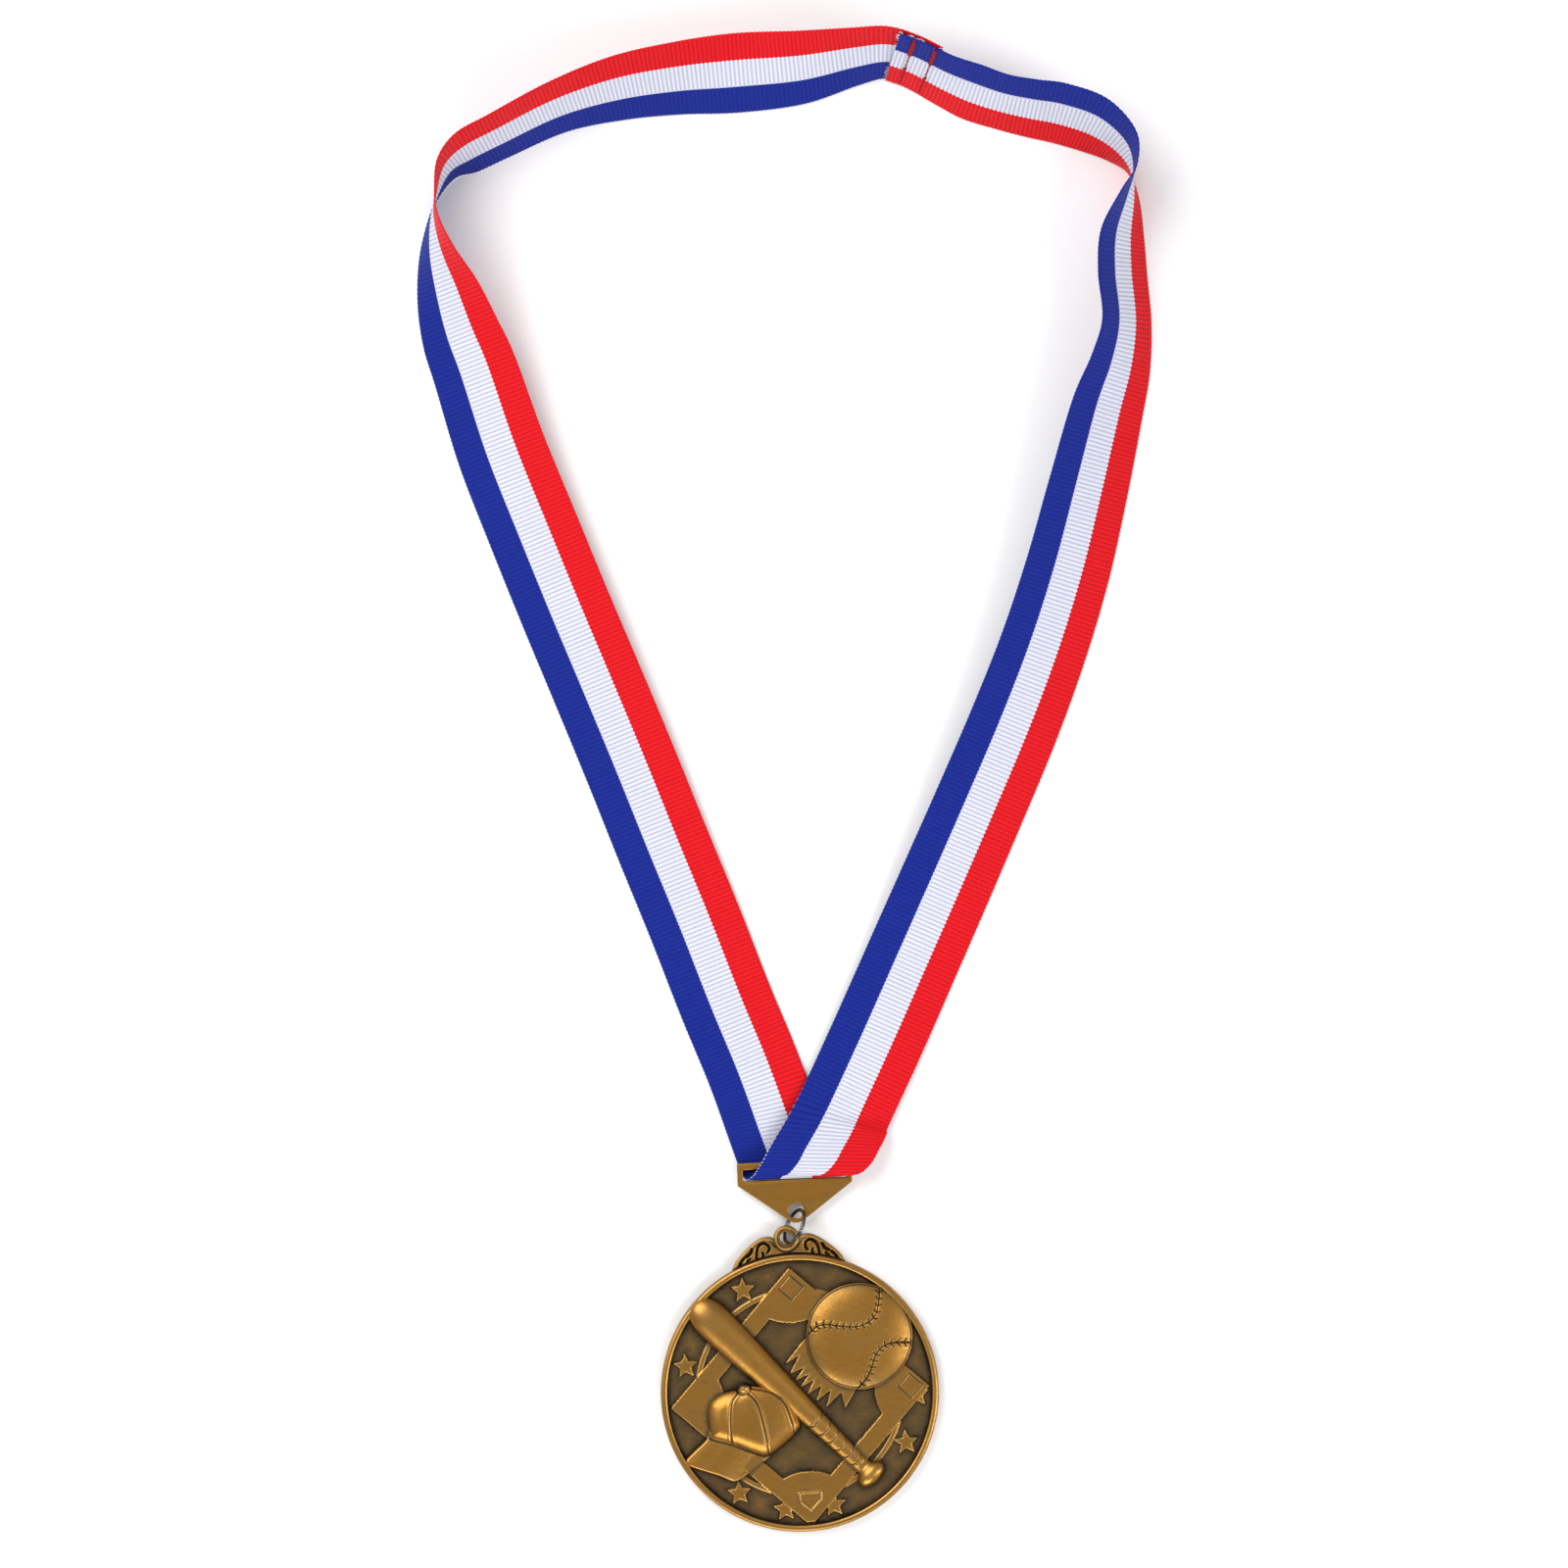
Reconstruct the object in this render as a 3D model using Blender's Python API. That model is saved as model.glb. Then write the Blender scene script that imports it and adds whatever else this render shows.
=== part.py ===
"""A round sports medal on a neck ribbon, lying face up, with its ribbon laid out in a loop.

Frame: +Z up, +Y from the medallion towards the neck loop, origin at the centre of the
medallion's flat back, which lies on the surface z = 0. All lengths below are in millimetres
and are turned into metres where the meshes are made.
"""

import math

import bmesh
import bpy
from mathutils import Matrix, Vector

MM = 0.001

# Medallion casting
MEDAL_TURN = math.radians(5.0)  # the medallion lies turned a little anticlockwise
RADIUS = 32.5
RIM_INNER = 30.9
FIELD_Z = 2.2
RIM_Z = 3.4
PLATE_Z = 2.9
BAND_Z = 2.6
BACK_GROOVE = (27.2, 28.4, 0.25)  # inner radius, outer radius, depth
DIAMOND_CENTRE = (0.0, -1.0)
DIAMOND_REACH = 30.2  # centre to corner of the baseball diamond
PATH_WIDTH = 4.1
BASE_CIRCLE = 12.7  # radius of the ground round each base
BAND_RADII = (23.3, 24.3)
STAR_ORBIT = 27.4
STAR_TIP = 2.8
STAR_NOTCH = 1.25
STAR_ANGLES = (114, 162, 234, 258, 282, 330, 354)
BALL_CENTRE = (15.0, 12.0)
BALL_RADIUS = 12.5
BALL_RISE = 2.7
BAT_BUTT = (-18.9, 18.5)  # where the barrel is widest
BAT_KNOB = (14.6, -19.9)
BAT_FLOOR = 1.35  # the bat's round body is cut off here, inside the disc
CAP_CENTRE = (-11.0, -5.4)
CAP_SQUASH = 0.83  # the crown is this much narrower one way than the other
CREST_LOW_Z = 0.8
CREST_Z = 3.0
EYELET = (0.0, 36.2)
EYELET_RADIUS = 3.0
EYELET_HOLE = 1.5
EYELET_THICK = 1.2

# Ribbon hanger, a slotted plate. Its own frame has the ring's hole at the origin.
HANGER_AT = (-0.87, 42.58)
HANGER_TURN = math.radians(2.5)
PLATE_MID_Z = 2.4  # mid height of both plates that the jump ring joins
HANGER_THICK = 1.3
HANGER_HALF = 13.4
HANGER_TOP = 11.55
SHOULDER = 6.2
TIP_RADIUS = 2.85
HANGER_HOLE = 1.85
SLOT_HALF = 12.05
SLOT_LOW = 7.3
SLOT_HIGH = 9.95

# Jump ring
RING_RADIUS = 4.05
WIRE_RADIUS = 0.45
RING_CENTRE = (-1.285, 38.98, 4.2)
RING_HEADING = math.radians(25.0)  # clockwise from +Y
RING_TILT = math.radians(66.0)  # from the horizontal
RING_SLIT = math.radians(3.0)

# Ribbon
RIBBON_WIDTH = 22.0
RIBBON_THICK = 0.5
THREAD = 0.5
THREAD_GAP = 0.3
STITCH_ROWS = (25.0, 29.6)  # X of the two rows across the lap


# ---------------------------------------------------------------- helpers


def clear_scene():
    for obj in list(bpy.data.objects):
        bpy.data.objects.remove(obj)


def material(name, colour, roughness, metallic):
    made = bpy.data.materials.new(name)
    made.use_nodes = True
    shader = made.node_tree.nodes["Principled BSDF"]
    shader.inputs["Base Color"].default_value = (*colour, 1.0)
    shader.inputs["Roughness"].default_value = roughness
    shader.inputs["Metallic"].default_value = metallic
    return made


def add_object(name, mesh, finish=None, parent=None):
    obj = bpy.data.objects.new(name, mesh)
    bpy.context.scene.collection.objects.link(obj)
    obj.parent = parent
    if finish:
        mesh.materials.append(finish)
    return obj


def as_tool(obj):
    obj.hide_render = True
    obj.display_type = "WIRE"
    return obj


def mesh_of(bm, name):
    bmesh.ops.recalc_face_normals(bm, faces=bm.faces)
    mesh = bpy.data.meshes.new(name)
    bm.to_mesh(mesh)
    bm.free()
    return mesh


def prism(name, outline, low, high):
    """A closed prism over a plan outline, from height low to height high."""
    bm = bmesh.new()
    floor = [bm.verts.new((x * MM, y * MM, low * MM)) for x, y in outline]
    face = bm.faces.new(floor)
    made = bmesh.ops.extrude_face_region(bm, geom=[face])
    raised = [item for item in made["geom"] if isinstance(item, bmesh.types.BMVert)]
    bmesh.ops.translate(bm, verts=raised, vec=(0, 0, (high - low) * MM))
    return mesh_of(bm, name)


def turned(name, profile, steps):
    """A solid of revolution about Z from (radius, height) points; radius 0 closes it."""
    bm = bmesh.new()
    rings = []
    for radius, height in profile:
        if radius == 0:
            rings.append([bm.verts.new((0, 0, height * MM))])
            continue
        angles = [2 * math.pi * i / steps for i in range(steps)]
        rings.append([
            bm.verts.new((radius * math.cos(a) * MM, radius * math.sin(a) * MM, height * MM))
            for a in angles
        ])
    for first, second in zip(rings, rings[1:]):
        for i in range(steps):
            j = (i + 1) % steps
            corners = [first[i % len(first)], first[j % len(first)]]
            corners += [second[j % len(second)], second[i % len(second)]]
            bm.faces.new(list(dict.fromkeys(corners)))
    # A flat end becomes one face, without a point at its centre.
    ends = [(rings[0], rings[1]), (rings[-1], rings[-2])]
    flat = [tip[0] for tip, ring in ends if tip[0].co.z == ring[0].co.z]
    bmesh.ops.dissolve_verts(bm, verts=flat)
    return mesh_of(bm, name)


def arc(centre, radius, start, end, steps):
    """Points on a circle from start to end, both in degrees."""
    angles = [math.radians(start + (end - start) * i / steps) for i in range(steps + 1)]
    return [(centre[0] + radius * math.cos(a), centre[1] + radius * math.sin(a)) for a in angles]


def combine(target, tool, operation):
    step = target.modifiers.new(tool.name, "BOOLEAN")
    step.operation = operation
    step.object = as_tool(tool)
    step.solver = "EXACT"


def spline(points, steps):
    """A smooth curve through points of any dimension, with steps samples between two of them."""
    last = len(points) - 1
    curve = []
    for i in range(last):
        a, b = Vector(points[max(i - 1, 0)]), Vector(points[i])
        c, d = Vector(points[i + 1]), Vector(points[min(i + 2, last)])
        for k in range(steps):
            t = k / steps
            bend = (2 * a - 5 * b + 4 * c - d) * t * t + (3 * b - a - 3 * c + d) * t * t * t
            curve.append((2 * b + (c - a) * t + bend) / 2)
    curve.append(Vector(points[last]))
    return curve


# ---------------------------------------------------------------- medallion


def medal_disc():
    groove_in, groove_out, depth = BACK_GROOVE
    profile = [
        (0, 0), (groove_in, 0), (groove_in + depth, depth), (groove_out - depth, depth),
        (groove_out, 0), (RADIUS - 0.5, 0), (RADIUS, 0.5), (RADIUS, RIM_Z - 0.5),
        (RADIUS - 0.5, RIM_Z), (RIM_INNER + 0.3, RIM_Z), (RIM_INNER, RIM_Z - 0.2),
        (RIM_INNER, FIELD_Z), (0, FIELD_Z),
    ]
    return turned("medallion", profile, 80)


def diamond_outline(reach):
    x, y = DIAMOND_CENTRE
    return [(x + reach, y), (x, y + reach), (x - reach, y), (x, y - reach)]


def diamond_grass():
    """The hollow middle of the diamond: a smaller square less the ground round each base."""
    inner = DIAMOND_REACH - PATH_WIDTH * math.sqrt(2)
    x, y = DIAMOND_CENTRE
    # Along an inner side, s runs from its middle. It meets a base circle where the distance to
    # that corner of the outer square is BASE_CIRCLE.
    half = inner / math.sqrt(2)
    outer_half = DIAMOND_REACH / math.sqrt(2)
    reach = outer_half - math.sqrt(BASE_CIRCLE**2 - PATH_WIDTH**2)
    along = min(reach, half)
    spread = math.degrees(math.atan2(outer_half - half, outer_half - along))
    outline = []
    for corner in range(4):
        facing = 90 * corner
        tip = (x + DIAMOND_REACH * math.cos(math.radians(facing)),
               y + DIAMOND_REACH * math.sin(math.radians(facing)))
        outline += arc(tip, BASE_CIRCLE, facing + 180 + 45 - spread, facing + 180 - 45 + spread, 8)
    return outline


def star(angle):
    centre = Vector((STAR_ORBIT, 0)) @ Matrix.Rotation(-math.radians(angle), 2)
    outline = []
    for i in range(10):
        reach = STAR_NOTCH if i % 2 else STAR_TIP
        turn = math.radians(90 + 36 * i)
        outline.append((centre.x + reach * math.cos(turn), centre.y + reach * math.sin(turn)))
    return outline


def bat_solid():
    """A bat lying in the field, turned about its own length and half sunk."""
    butt, knob = Vector(BAT_BUTT), Vector(BAT_KNOB)
    length = (knob - butt).length
    profile = [
        (0, -6.3), (2.4, -5.6), (3.8, -3.6), (4.5, -0.6), (4.4, 6.0), (3.4, 22.0),
        (2.35, 36.0), (1.95, length - 2.6), (3.2, length - 1.9), (3.7, length - 0.6),
        (3.2, length + 0.8), (0, length + 1.4),
    ]
    mesh = turned("bat", profile, 20)
    direction = knob - butt
    lie = Matrix.Rotation(math.atan2(direction.y, direction.x), 4, "Z")
    lie = lie @ Matrix.Rotation(math.radians(90), 4, "Y")
    flatten = Matrix.Diagonal((1, 1, 0.62, 1))
    mesh.transform(Matrix.Translation((butt.x * MM, butt.y * MM, FIELD_Z * MM)) @ flatten @ lie)
    bm = bmesh.new()
    bm.from_mesh(mesh)
    cut = bmesh.ops.bisect_plane(
        bm, geom=[*bm.verts, *bm.edges, *bm.faces], plane_co=(0, 0, BAT_FLOOR * MM),
        plane_no=(0, 0, 1), clear_inner=True,
    )
    rim = [item for item in cut["geom_cut"] if isinstance(item, bmesh.types.BMEdge)]
    bmesh.ops.edgeloop_fill(bm, edges=rim)
    return mesh_of(bm, "bat")


def cap_crown():
    """The crown of a cap: a low dome, stretched along the way that the cap faces."""
    dome = [(0, 1.2), (10.2, 1.2), (10.2, 2.5), (9.3, 3.6), (7.2, 4.5), (3.8, 4.9), (0, 5.0)]
    mesh = turned("cap_crown", dome, 28)
    x, y = CAP_CENTRE
    squash = Matrix.Diagonal((1.0, CAP_SQUASH, 1.0, 1.0))
    mesh.transform(Matrix.Translation((x * MM, y * MM, 0)) @ squash)
    return mesh


def crest_outline():
    hump = [(-13.5, 29.3), (-12.2, 31.6), (-10.5, 33.4), (-8.4, 35.3), (-6.4, 36.5),
            (-4.5, 36.9), (-2.0, 36.6)]
    left = [(p.x, p.y) for p in spline(hump, 2)]
    right = [(-x, y) for x, y in reversed(left)]
    return left + right + arc((0, 0), RADIUS - 1.0, 66, 114, 12)


BRIM = [(-22.4, -8.6), (-27.5, -13.1), (-26.9, -14.7), (-23.5, -16.4), (-18.1, -19.2),
        (-16.6, -19.4), (-14.2, -18.4), (-8.1, -14.3), (-9.0, -9.0)]
FRINGE = [(2.3, 12.4), (-2.6, 7.2), (0.1, 8.8), (-1.7, 4.8), (1.2, 5.7), (-0.6, 3.1), (2.2, 3.9),
          (0.4, 1.4), (3.2, 2.4), (1.9, -0.4), (4.8, 0.8), (3.9, -2.0), (7.0, -0.4), (6.1, -3.5),
          (9.4, -1.2), (10.3, -4.3), (13.0, -0.4), (15.0, 2.0), (10.0, 10.0)]


def build_medallion(bronze):
    frame = bpy.data.objects.new("medallion_frame", None)
    bpy.context.scene.collection.objects.link(frame)
    frame.rotation_euler.z = MEDAL_TURN
    medal = add_object("medallion", medal_disc(), bronze, frame)

    def raise_on(name, mesh):
        combine(medal, add_object(name, mesh, None, frame), "UNION")

    crest = add_object("crest", prism("crest", crest_outline(), CREST_LOW_Z, CREST_Z), None, frame)
    low = PLATE_MID_Z - EYELET_THICK / 2
    high = PLATE_MID_Z + EYELET_THICK / 2
    room = prism("eyelet_room", arc(EYELET, EYELET_RADIUS + 0.2, 0, 354, 30), -1.0, CREST_Z + 1.0)
    combine(crest, add_object("eyelet_room", room, None, frame), "DIFFERENCE")
    combine(medal, crest, "UNION")
    boss = arc(EYELET, EYELET_RADIUS, -50, 230, 24) + arc((0, 0), RADIUS - 1.0, 95, 85, 2)
    raise_on("eyelet_boss", prism("eyelet_boss", boss, low, high))

    path = prism("diamond", diamond_outline(DIAMOND_REACH), 1.0, PLATE_Z)
    diamond = add_object("diamond", path, None, frame)
    grass = prism("diamond_grass", diamond_grass(), 0.5, PLATE_Z + 1.0)
    combine(diamond, add_object("diamond_grass", grass, None, frame), "DIFFERENCE")
    combine(medal, diamond, "UNION")

    inner, outer = BAND_RADII
    ring = [(inner, 1.1), (outer, 1.1), (outer, BAND_Z), (inner, BAND_Z), (inner, 1.1)]
    raise_on("outfield_band", closed_ring("outfield_band", ring[:-1], 64))
    for angle in STAR_ANGLES:
        raise_on(f"star_{angle}", prism("star", star(angle), 1.2, BAND_Z + 0.2))
    raise_on("speed_fringe", prism("speed_fringe", FRINGE, 1.3, PLATE_Z - 0.15))

    x, y = BALL_CENTRE
    r = BALL_RADIUS
    dome = [(0, 1.4), (r, 1.4), (r, 2.6), (r * 0.96, 3.4), (r * 0.84, 4.1), (r * 0.6, 4.6),
            (r * 0.3, FIELD_Z + BALL_RISE - 0.05), (0, FIELD_Z + BALL_RISE)]
    ball = turned("ball", dome, 48)
    ball.transform(Matrix.Translation((x * MM, y * MM, 0)))
    raise_on("ball", ball)
    raise_on("bat", bat_solid())
    raise_on("cap_brim", prism("cap_brim", BRIM, 1.5, 3.6))
    raise_on("cap_crown", cap_crown())
    hole = prism("eyelet_hole", arc(EYELET, EYELET_HOLE, 0, 345, 23), -1.0, CREST_Z + 1.0)
    combine(medal, add_object("eyelet_hole", hole, None, frame), "DIFFERENCE")


def closed_ring(name, section, steps):
    """A ring whose cross-section is a closed list of (radius, height) points."""
    bm = bmesh.new()
    rings = []
    for i in range(steps):
        a = 2 * math.pi * i / steps
        rings.append([bm.verts.new((r * math.cos(a) * MM, r * math.sin(a) * MM, z * MM))
                      for r, z in section])
    count = len(section)
    for i in range(steps):
        first, second = rings[i], rings[(i + 1) % steps]
        for k in range(count):
            n = (k + 1) % count
            bm.faces.new((first[k], first[n], second[n], second[k]))
    return mesh_of(bm, name)


# ---------------------------------------------------------------- hanger and ring


def hanger_matrix():
    x, y = HANGER_AT
    return Matrix.Translation((x, y, PLATE_MID_Z)) @ Matrix.Rotation(HANGER_TURN, 4, "Z")


def build_hanger(bronze):
    # The lower sides run from the shoulders to touch the round tip.
    reach = math.hypot(HANGER_HALF, SHOULDER)
    touch = math.degrees(math.atan2(SHOULDER, HANGER_HALF) - math.acos(TIP_RADIUS / reach))
    outline = arc((0, 0), TIP_RADIUS, -180 - touch, touch, 10)
    outline += [(HANGER_HALF, SHOULDER), (HANGER_HALF, HANGER_TOP)]
    outline += [(-HANGER_HALF, HANGER_TOP), (-HANGER_HALF, SHOULDER)]
    half = HANGER_THICK / 2
    plate = add_object("ribbon_hanger", prism("ribbon_hanger", outline, -half, half), bronze)
    bevel = plate.modifiers.new("edge", "BEVEL")
    bevel.width = 0.15 * MM
    bevel.segments = 1
    slot = [(-SLOT_HALF, SLOT_LOW), (SLOT_HALF, SLOT_LOW), (SLOT_HALF, SLOT_HIGH),
            (-SLOT_HALF, SLOT_HIGH)]
    hole = arc((0, 0), HANGER_HOLE, 0, 345, 23)
    for name, shape in (("hanger_slot", slot), ("hanger_hole", hole)):
        combine(plate, place_hanger(add_object(name, prism(name, shape, -2, 2))), "DIFFERENCE")
    place_hanger(plate)


def place_hanger(obj):
    obj.location = hanger_matrix().translation * MM
    obj.rotation_euler.z = HANGER_TURN
    return obj


def build_ring(nickel):
    """An open wire ring: its ends meet at a narrow slit."""
    steps, sides = 40, 10
    long_way = Vector((math.sin(RING_HEADING), math.cos(RING_HEADING), 0))
    across = Vector((math.cos(RING_HEADING), -math.sin(RING_HEADING), 0))
    up_way = across * math.cos(RING_TILT) + Vector((0, 0, math.sin(RING_TILT)))
    normal = long_way.cross(up_way)
    bm = bmesh.new()
    loops = []
    for i in range(steps + 1):
        # The slit faces up, at a quarter turn.
        a = math.pi / 2 + RING_SLIT / 2 + (2 * math.pi - RING_SLIT) * i / steps
        out = long_way * math.cos(a) + up_way * math.sin(a)
        loops.append([])
        for k in range(sides):
            b = 2 * math.pi * k / sides
            side = out * math.cos(b) + normal * math.sin(b)
            point = Vector(RING_CENTRE) + out * RING_RADIUS + side * WIRE_RADIUS
            loops[-1].append(bm.verts.new(point * MM))
    for first, second in zip(loops, loops[1:]):
        for k in range(sides):
            n = (k + 1) % sides
            bm.faces.new((first[k], first[n], second[n], second[k]))
    bm.faces.new(loops[0])
    bm.faces.new(loops[-1])
    add_object("jump_ring", mesh_of(bm, "jump_ring"), nickel)


# ---------------------------------------------------------------- ribbon

# Each station is (x, y, lean, lift). Lean is the angle in degrees from the inward level
# direction up to the line that runs from the blue edge to the red edge, so that 0 lies flat
# with red inside, 90 stands on its blue edge and 270 stands on its red edge. Lift is how far
# the lower edge is off the surface.
LEFT_SIDE = [
    (31.0, 308.2, 115, 0.3), (25.5, 310.9, 115, 0.3), (20.0, 312.3, 117, 0.2),
    (12.4, 311.3, 122, 0.1), (0.0, 309.0, 135, 0.1), (-15.0, 307.8, 141, 0.1),
    (-29.0, 306.4, 134, 0.1), (-42.6, 304.0, 127, 0.1), (-56.4, 299.6, 118, 0.1),
    (-70.0, 292.9, 114, 0.1), (-77.5, 289.0, 112, 0.1), (-82.0, 285.4, 101, 0.1),
    (-84.3, 279.8, 90, 0.1), (-85.3, 274.2, 82, 0.1), (-84.6, 266.0, 66, 0.1),
    (-82.1, 256.8, 46, 0.1), (-79.3, 247.6, 32, 0.1), (-75.8, 238.5, 24, 0.1),
    (-69.7, 220.1, 16, 0.1), (-62.4, 201.8, 12, 0.1), (-54.9, 183.4, 10, 0.1),
    (-47.2, 165.1, 8, 0.1), (-39.6, 146.8, 6, 0.1), (-32.2, 128.4, 4, 0.1),
    (-24.7, 110.1, 2, 0.1), (-17.5, 91.7, 0, 0.2), (-11.0, 76.0, 0, 0.3),
]
RIGHT_SIDE = [
    (10.9, 67.1, 180, 1.5), (18.0, 82.5, 181, 0.8), (26.2, 101.0, 184, 0.1),
    (34.2, 119.2, 188, 0.1), (42.2, 137.6, 192, 0.1), (50.0, 156.0, 195, 0.1),
    (56.9, 174.3, 200, 0.1), (62.6, 192.6, 204, 0.1), (67.2, 211.0, 210, 0.1),
    (71.6, 229.3, 218, 0.1), (74.7, 240.0, 228, 0.1), (76.1, 250.0, 236, 0.1),
    (75.1, 261.0, 236, 0.1), (75.1, 270.0, 240, 0.1), (76.8, 279.0, 256, 0.1),
    (77.3, 285.0, 272, 0.1), (74.8, 290.5, 290, 0.1), (68.6, 295.4, 302, 0.1),
    (60.5, 298.2, 304, 0.1), (53.7, 299.4, 302, 0.1), (46.8, 300.9, 300, 0.1),
    (39.9, 303.2, 301, 0.1), (33.5, 305.9, 297, 0.2), (27.0, 309.2, 295, 0.6),
    (21.6, 311.2, 295, 0.6),
]
# Rulings of the back run as it comes down to the bar, blue end then red end.
BACK_RULINGS = [
    ((-16.5, 58.8, 0.7), (5.9, 62.0, 0.7)),
    ((-15.05, 54.75, 0.7), (7.95, 56.7, 0.7)),
    ((-14.3, 52.5, 0.7), (9.05, 53.9, 0.7)),
]
# Rulings of the front run just above the bar, blue end then red end, from low to high.
BAR_RULINGS = [
    ((-8.6, 54.4, 4.1), (16.9, 54.1, 6.4)),
    ((-7.3, 57.0, 3.9), (18.3, 56.6, 5.5)),
    ((-5.3, 60.4, 3.5), (19.6, 58.9, 4.5)),
    ((-2.9, 64.4, 2.9), (20.4, 60.8, 3.5)),
]
# Rulings of the turn round the bar, from back to front, in the hanger's frame. The ribbon crosses
# the bar at a slant, and in front its red edge stands up and swells out past the slot's end.
FOLD_RULINGS = [
    ((-12.6, 9.4, -1.7), (10.9, 9.4, -1.7)),
    ((-12.2, 8.55, -1.47), (11.2, 8.55, -1.47)),
    ((-11.7, 7.93, -0.85), (11.4, 7.93, -0.85)),
    ((-11.2, 7.7, 0.0), (11.5, 7.7, 0.0)),
    ((-10.6, 7.93, 0.85), (11.5, 7.88, 1.05)),
    ((-9.8, 8.55, 1.47), (11.5, 8.3, 2.1)),
    ((-9.2, 9.2, 1.68), (13.6, 7.9, 3.7)),
    ((-8.6, 10.1, 1.75), (15.8, 8.5, 4.4)),
]


def rulings_of(stations):
    """Pairs of blue-edge and red-edge points of the middle surface."""
    pairs = []
    last = len(stations) - 1
    for i, (x, y, lean, lift) in enumerate(stations):
        before, after = stations[max(i - 1, 0)], stations[min(i + 1, last)]
        heading = Vector((after[0] - before[0], after[1] - before[1], 0)).normalized()
        inward = Vector((-heading.y, heading.x, 0))
        lean = math.radians(lean)
        half = (inward * math.cos(lean) + Vector((0, 0, math.sin(lean)))) * RIBBON_WIDTH / 2
        rise = abs(half.z) + abs(math.cos(lean)) * RIBBON_THICK / 2 + lift
        centre = Vector((x, y, rise))
        pairs.append((*(centre - half), *(centre + half)))
    return pairs


def fold_rulings():
    """The turn round the hanger's bar, from the back run to the front run."""
    place = hanger_matrix()
    return [(*(place @ Vector(blue)), *(place @ Vector(red))) for blue, red in FOLD_RULINGS]


def ribbon_rulings():
    back = [(*blue, *red) for blue, red in BACK_RULINGS]
    front = [(*blue, *red) for blue, red in BAR_RULINGS]
    route = rulings_of(LEFT_SIDE) + back + fold_rulings() + front + rulings_of(RIGHT_SIDE)
    return [(Vector(p[:3]), Vector(p[3:])) for p in spline(route, 4)]


def strip_normals(rulings):
    normals = []
    last = len(rulings) - 1
    for i, (blue, red) in enumerate(rulings):
        before, after = rulings[max(i - 1, 0)], rulings[min(i + 1, last)]
        along = (after[0] + after[1]) - (before[0] + before[1])
        normals.append((red - blue).cross(along).normalized())
    return normals


def build_ribbon(cloth, thread):
    rulings = ribbon_rulings()
    normals = strip_normals(rulings)
    bm = bmesh.new()
    loops = []
    for (blue, red), normal in zip(rulings, normals):
        off = normal * RIBBON_THICK / 2
        middle = (blue + red) / 2
        section = (blue - off, middle - off, red - off, red + off, middle + off, blue + off)
        loops.append([bm.verts.new(point * MM) for point in section])
    for first, second in zip(loops, loops[1:]):
        for k in range(6):
            n = (k + 1) % 6
            a, b, c, d = first[k], first[n], second[n], second[k]
            # The two faces share their diagonals, so a twisted stretch keeps its thickness.
            halves = ((a, b, c), (a, c, d)) if k < 3 else ((b, c, d), (b, d, a))
            for half in halves:
                bm.faces.new(half)
    bm.faces.new(loops[0])
    bm.faces.new(loops[-1])
    add_object("neck_ribbon", mesh_of(bm, "neck_ribbon"), cloth)

    lap = [(pair, normal) for pair, normal in zip(rulings, normals)][-20:]
    for number, x in enumerate(STITCH_ROWS, 1):
        (blue, red), normal = min(lap, key=lambda item: abs((item[0][0] + item[0][1]).x / 2 - x))
        inner = normal if normal.z > 0 else -normal
        build_stitch_row(f"stitch_row_{number}", blue, red, inner, thread)


def build_stitch_row(name, blue, red, inner, thread):
    """A row of sewing thread across the lap, as one plain bar on its inner face."""
    middle = (blue + red) / 2 + inner * (RIBBON_THICK / 2 + THREAD_GAP + THREAD / 2)
    across = (red - blue) * 0.46
    side = across.cross(inner).normalized() * THREAD / 2
    up = inner * THREAD / 2
    bm = bmesh.new()
    ends = [[bm.verts.new((middle + end + a * side + b * up) * MM)
             for a, b in ((-1, -1), (1, -1), (1, 1), (-1, 1))] for end in (-across, across)]
    for k in range(4):
        n = (k + 1) % 4
        bm.faces.new((ends[0][k], ends[0][n], ends[1][n], ends[1][k]))
    bm.faces.new(ends[0])
    bm.faces.new(ends[1])
    add_object(name, mesh_of(bm, name), thread)


def main():
    clear_scene()
    bronze = material("antique_bronze", (0.40, 0.26, 0.09), 0.42, 1.0)
    nickel = material("bright_nickel", (0.75, 0.74, 0.72), 0.18, 1.0)
    cloth = material("ribbon_cloth", (0.06, 0.09, 0.45), 0.85, 0.0)
    thread = material("sewing_thread", (0.35, 0.01, 0.02), 0.8, 0.0)
    build_medallion(bronze)
    build_hanger(bronze)
    build_ring(nickel)
    build_ribbon(cloth, thread)


main()
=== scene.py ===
"""A bronze sports medal on a red, white and blue neck ribbon, laid face up on a pale floor.

Lengths in the tables are millimetres, in the frame of the CAD model: origin at the centre of the
medallion's back, +Y towards the neck loop, +Z up. The medallion's own tables are in its design
frame, which is turned by MEDAL_TURN to lie as it does.
"""

import math

import bmesh
import bpy
import numpy as np
from mathutils import Matrix, Vector


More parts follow.
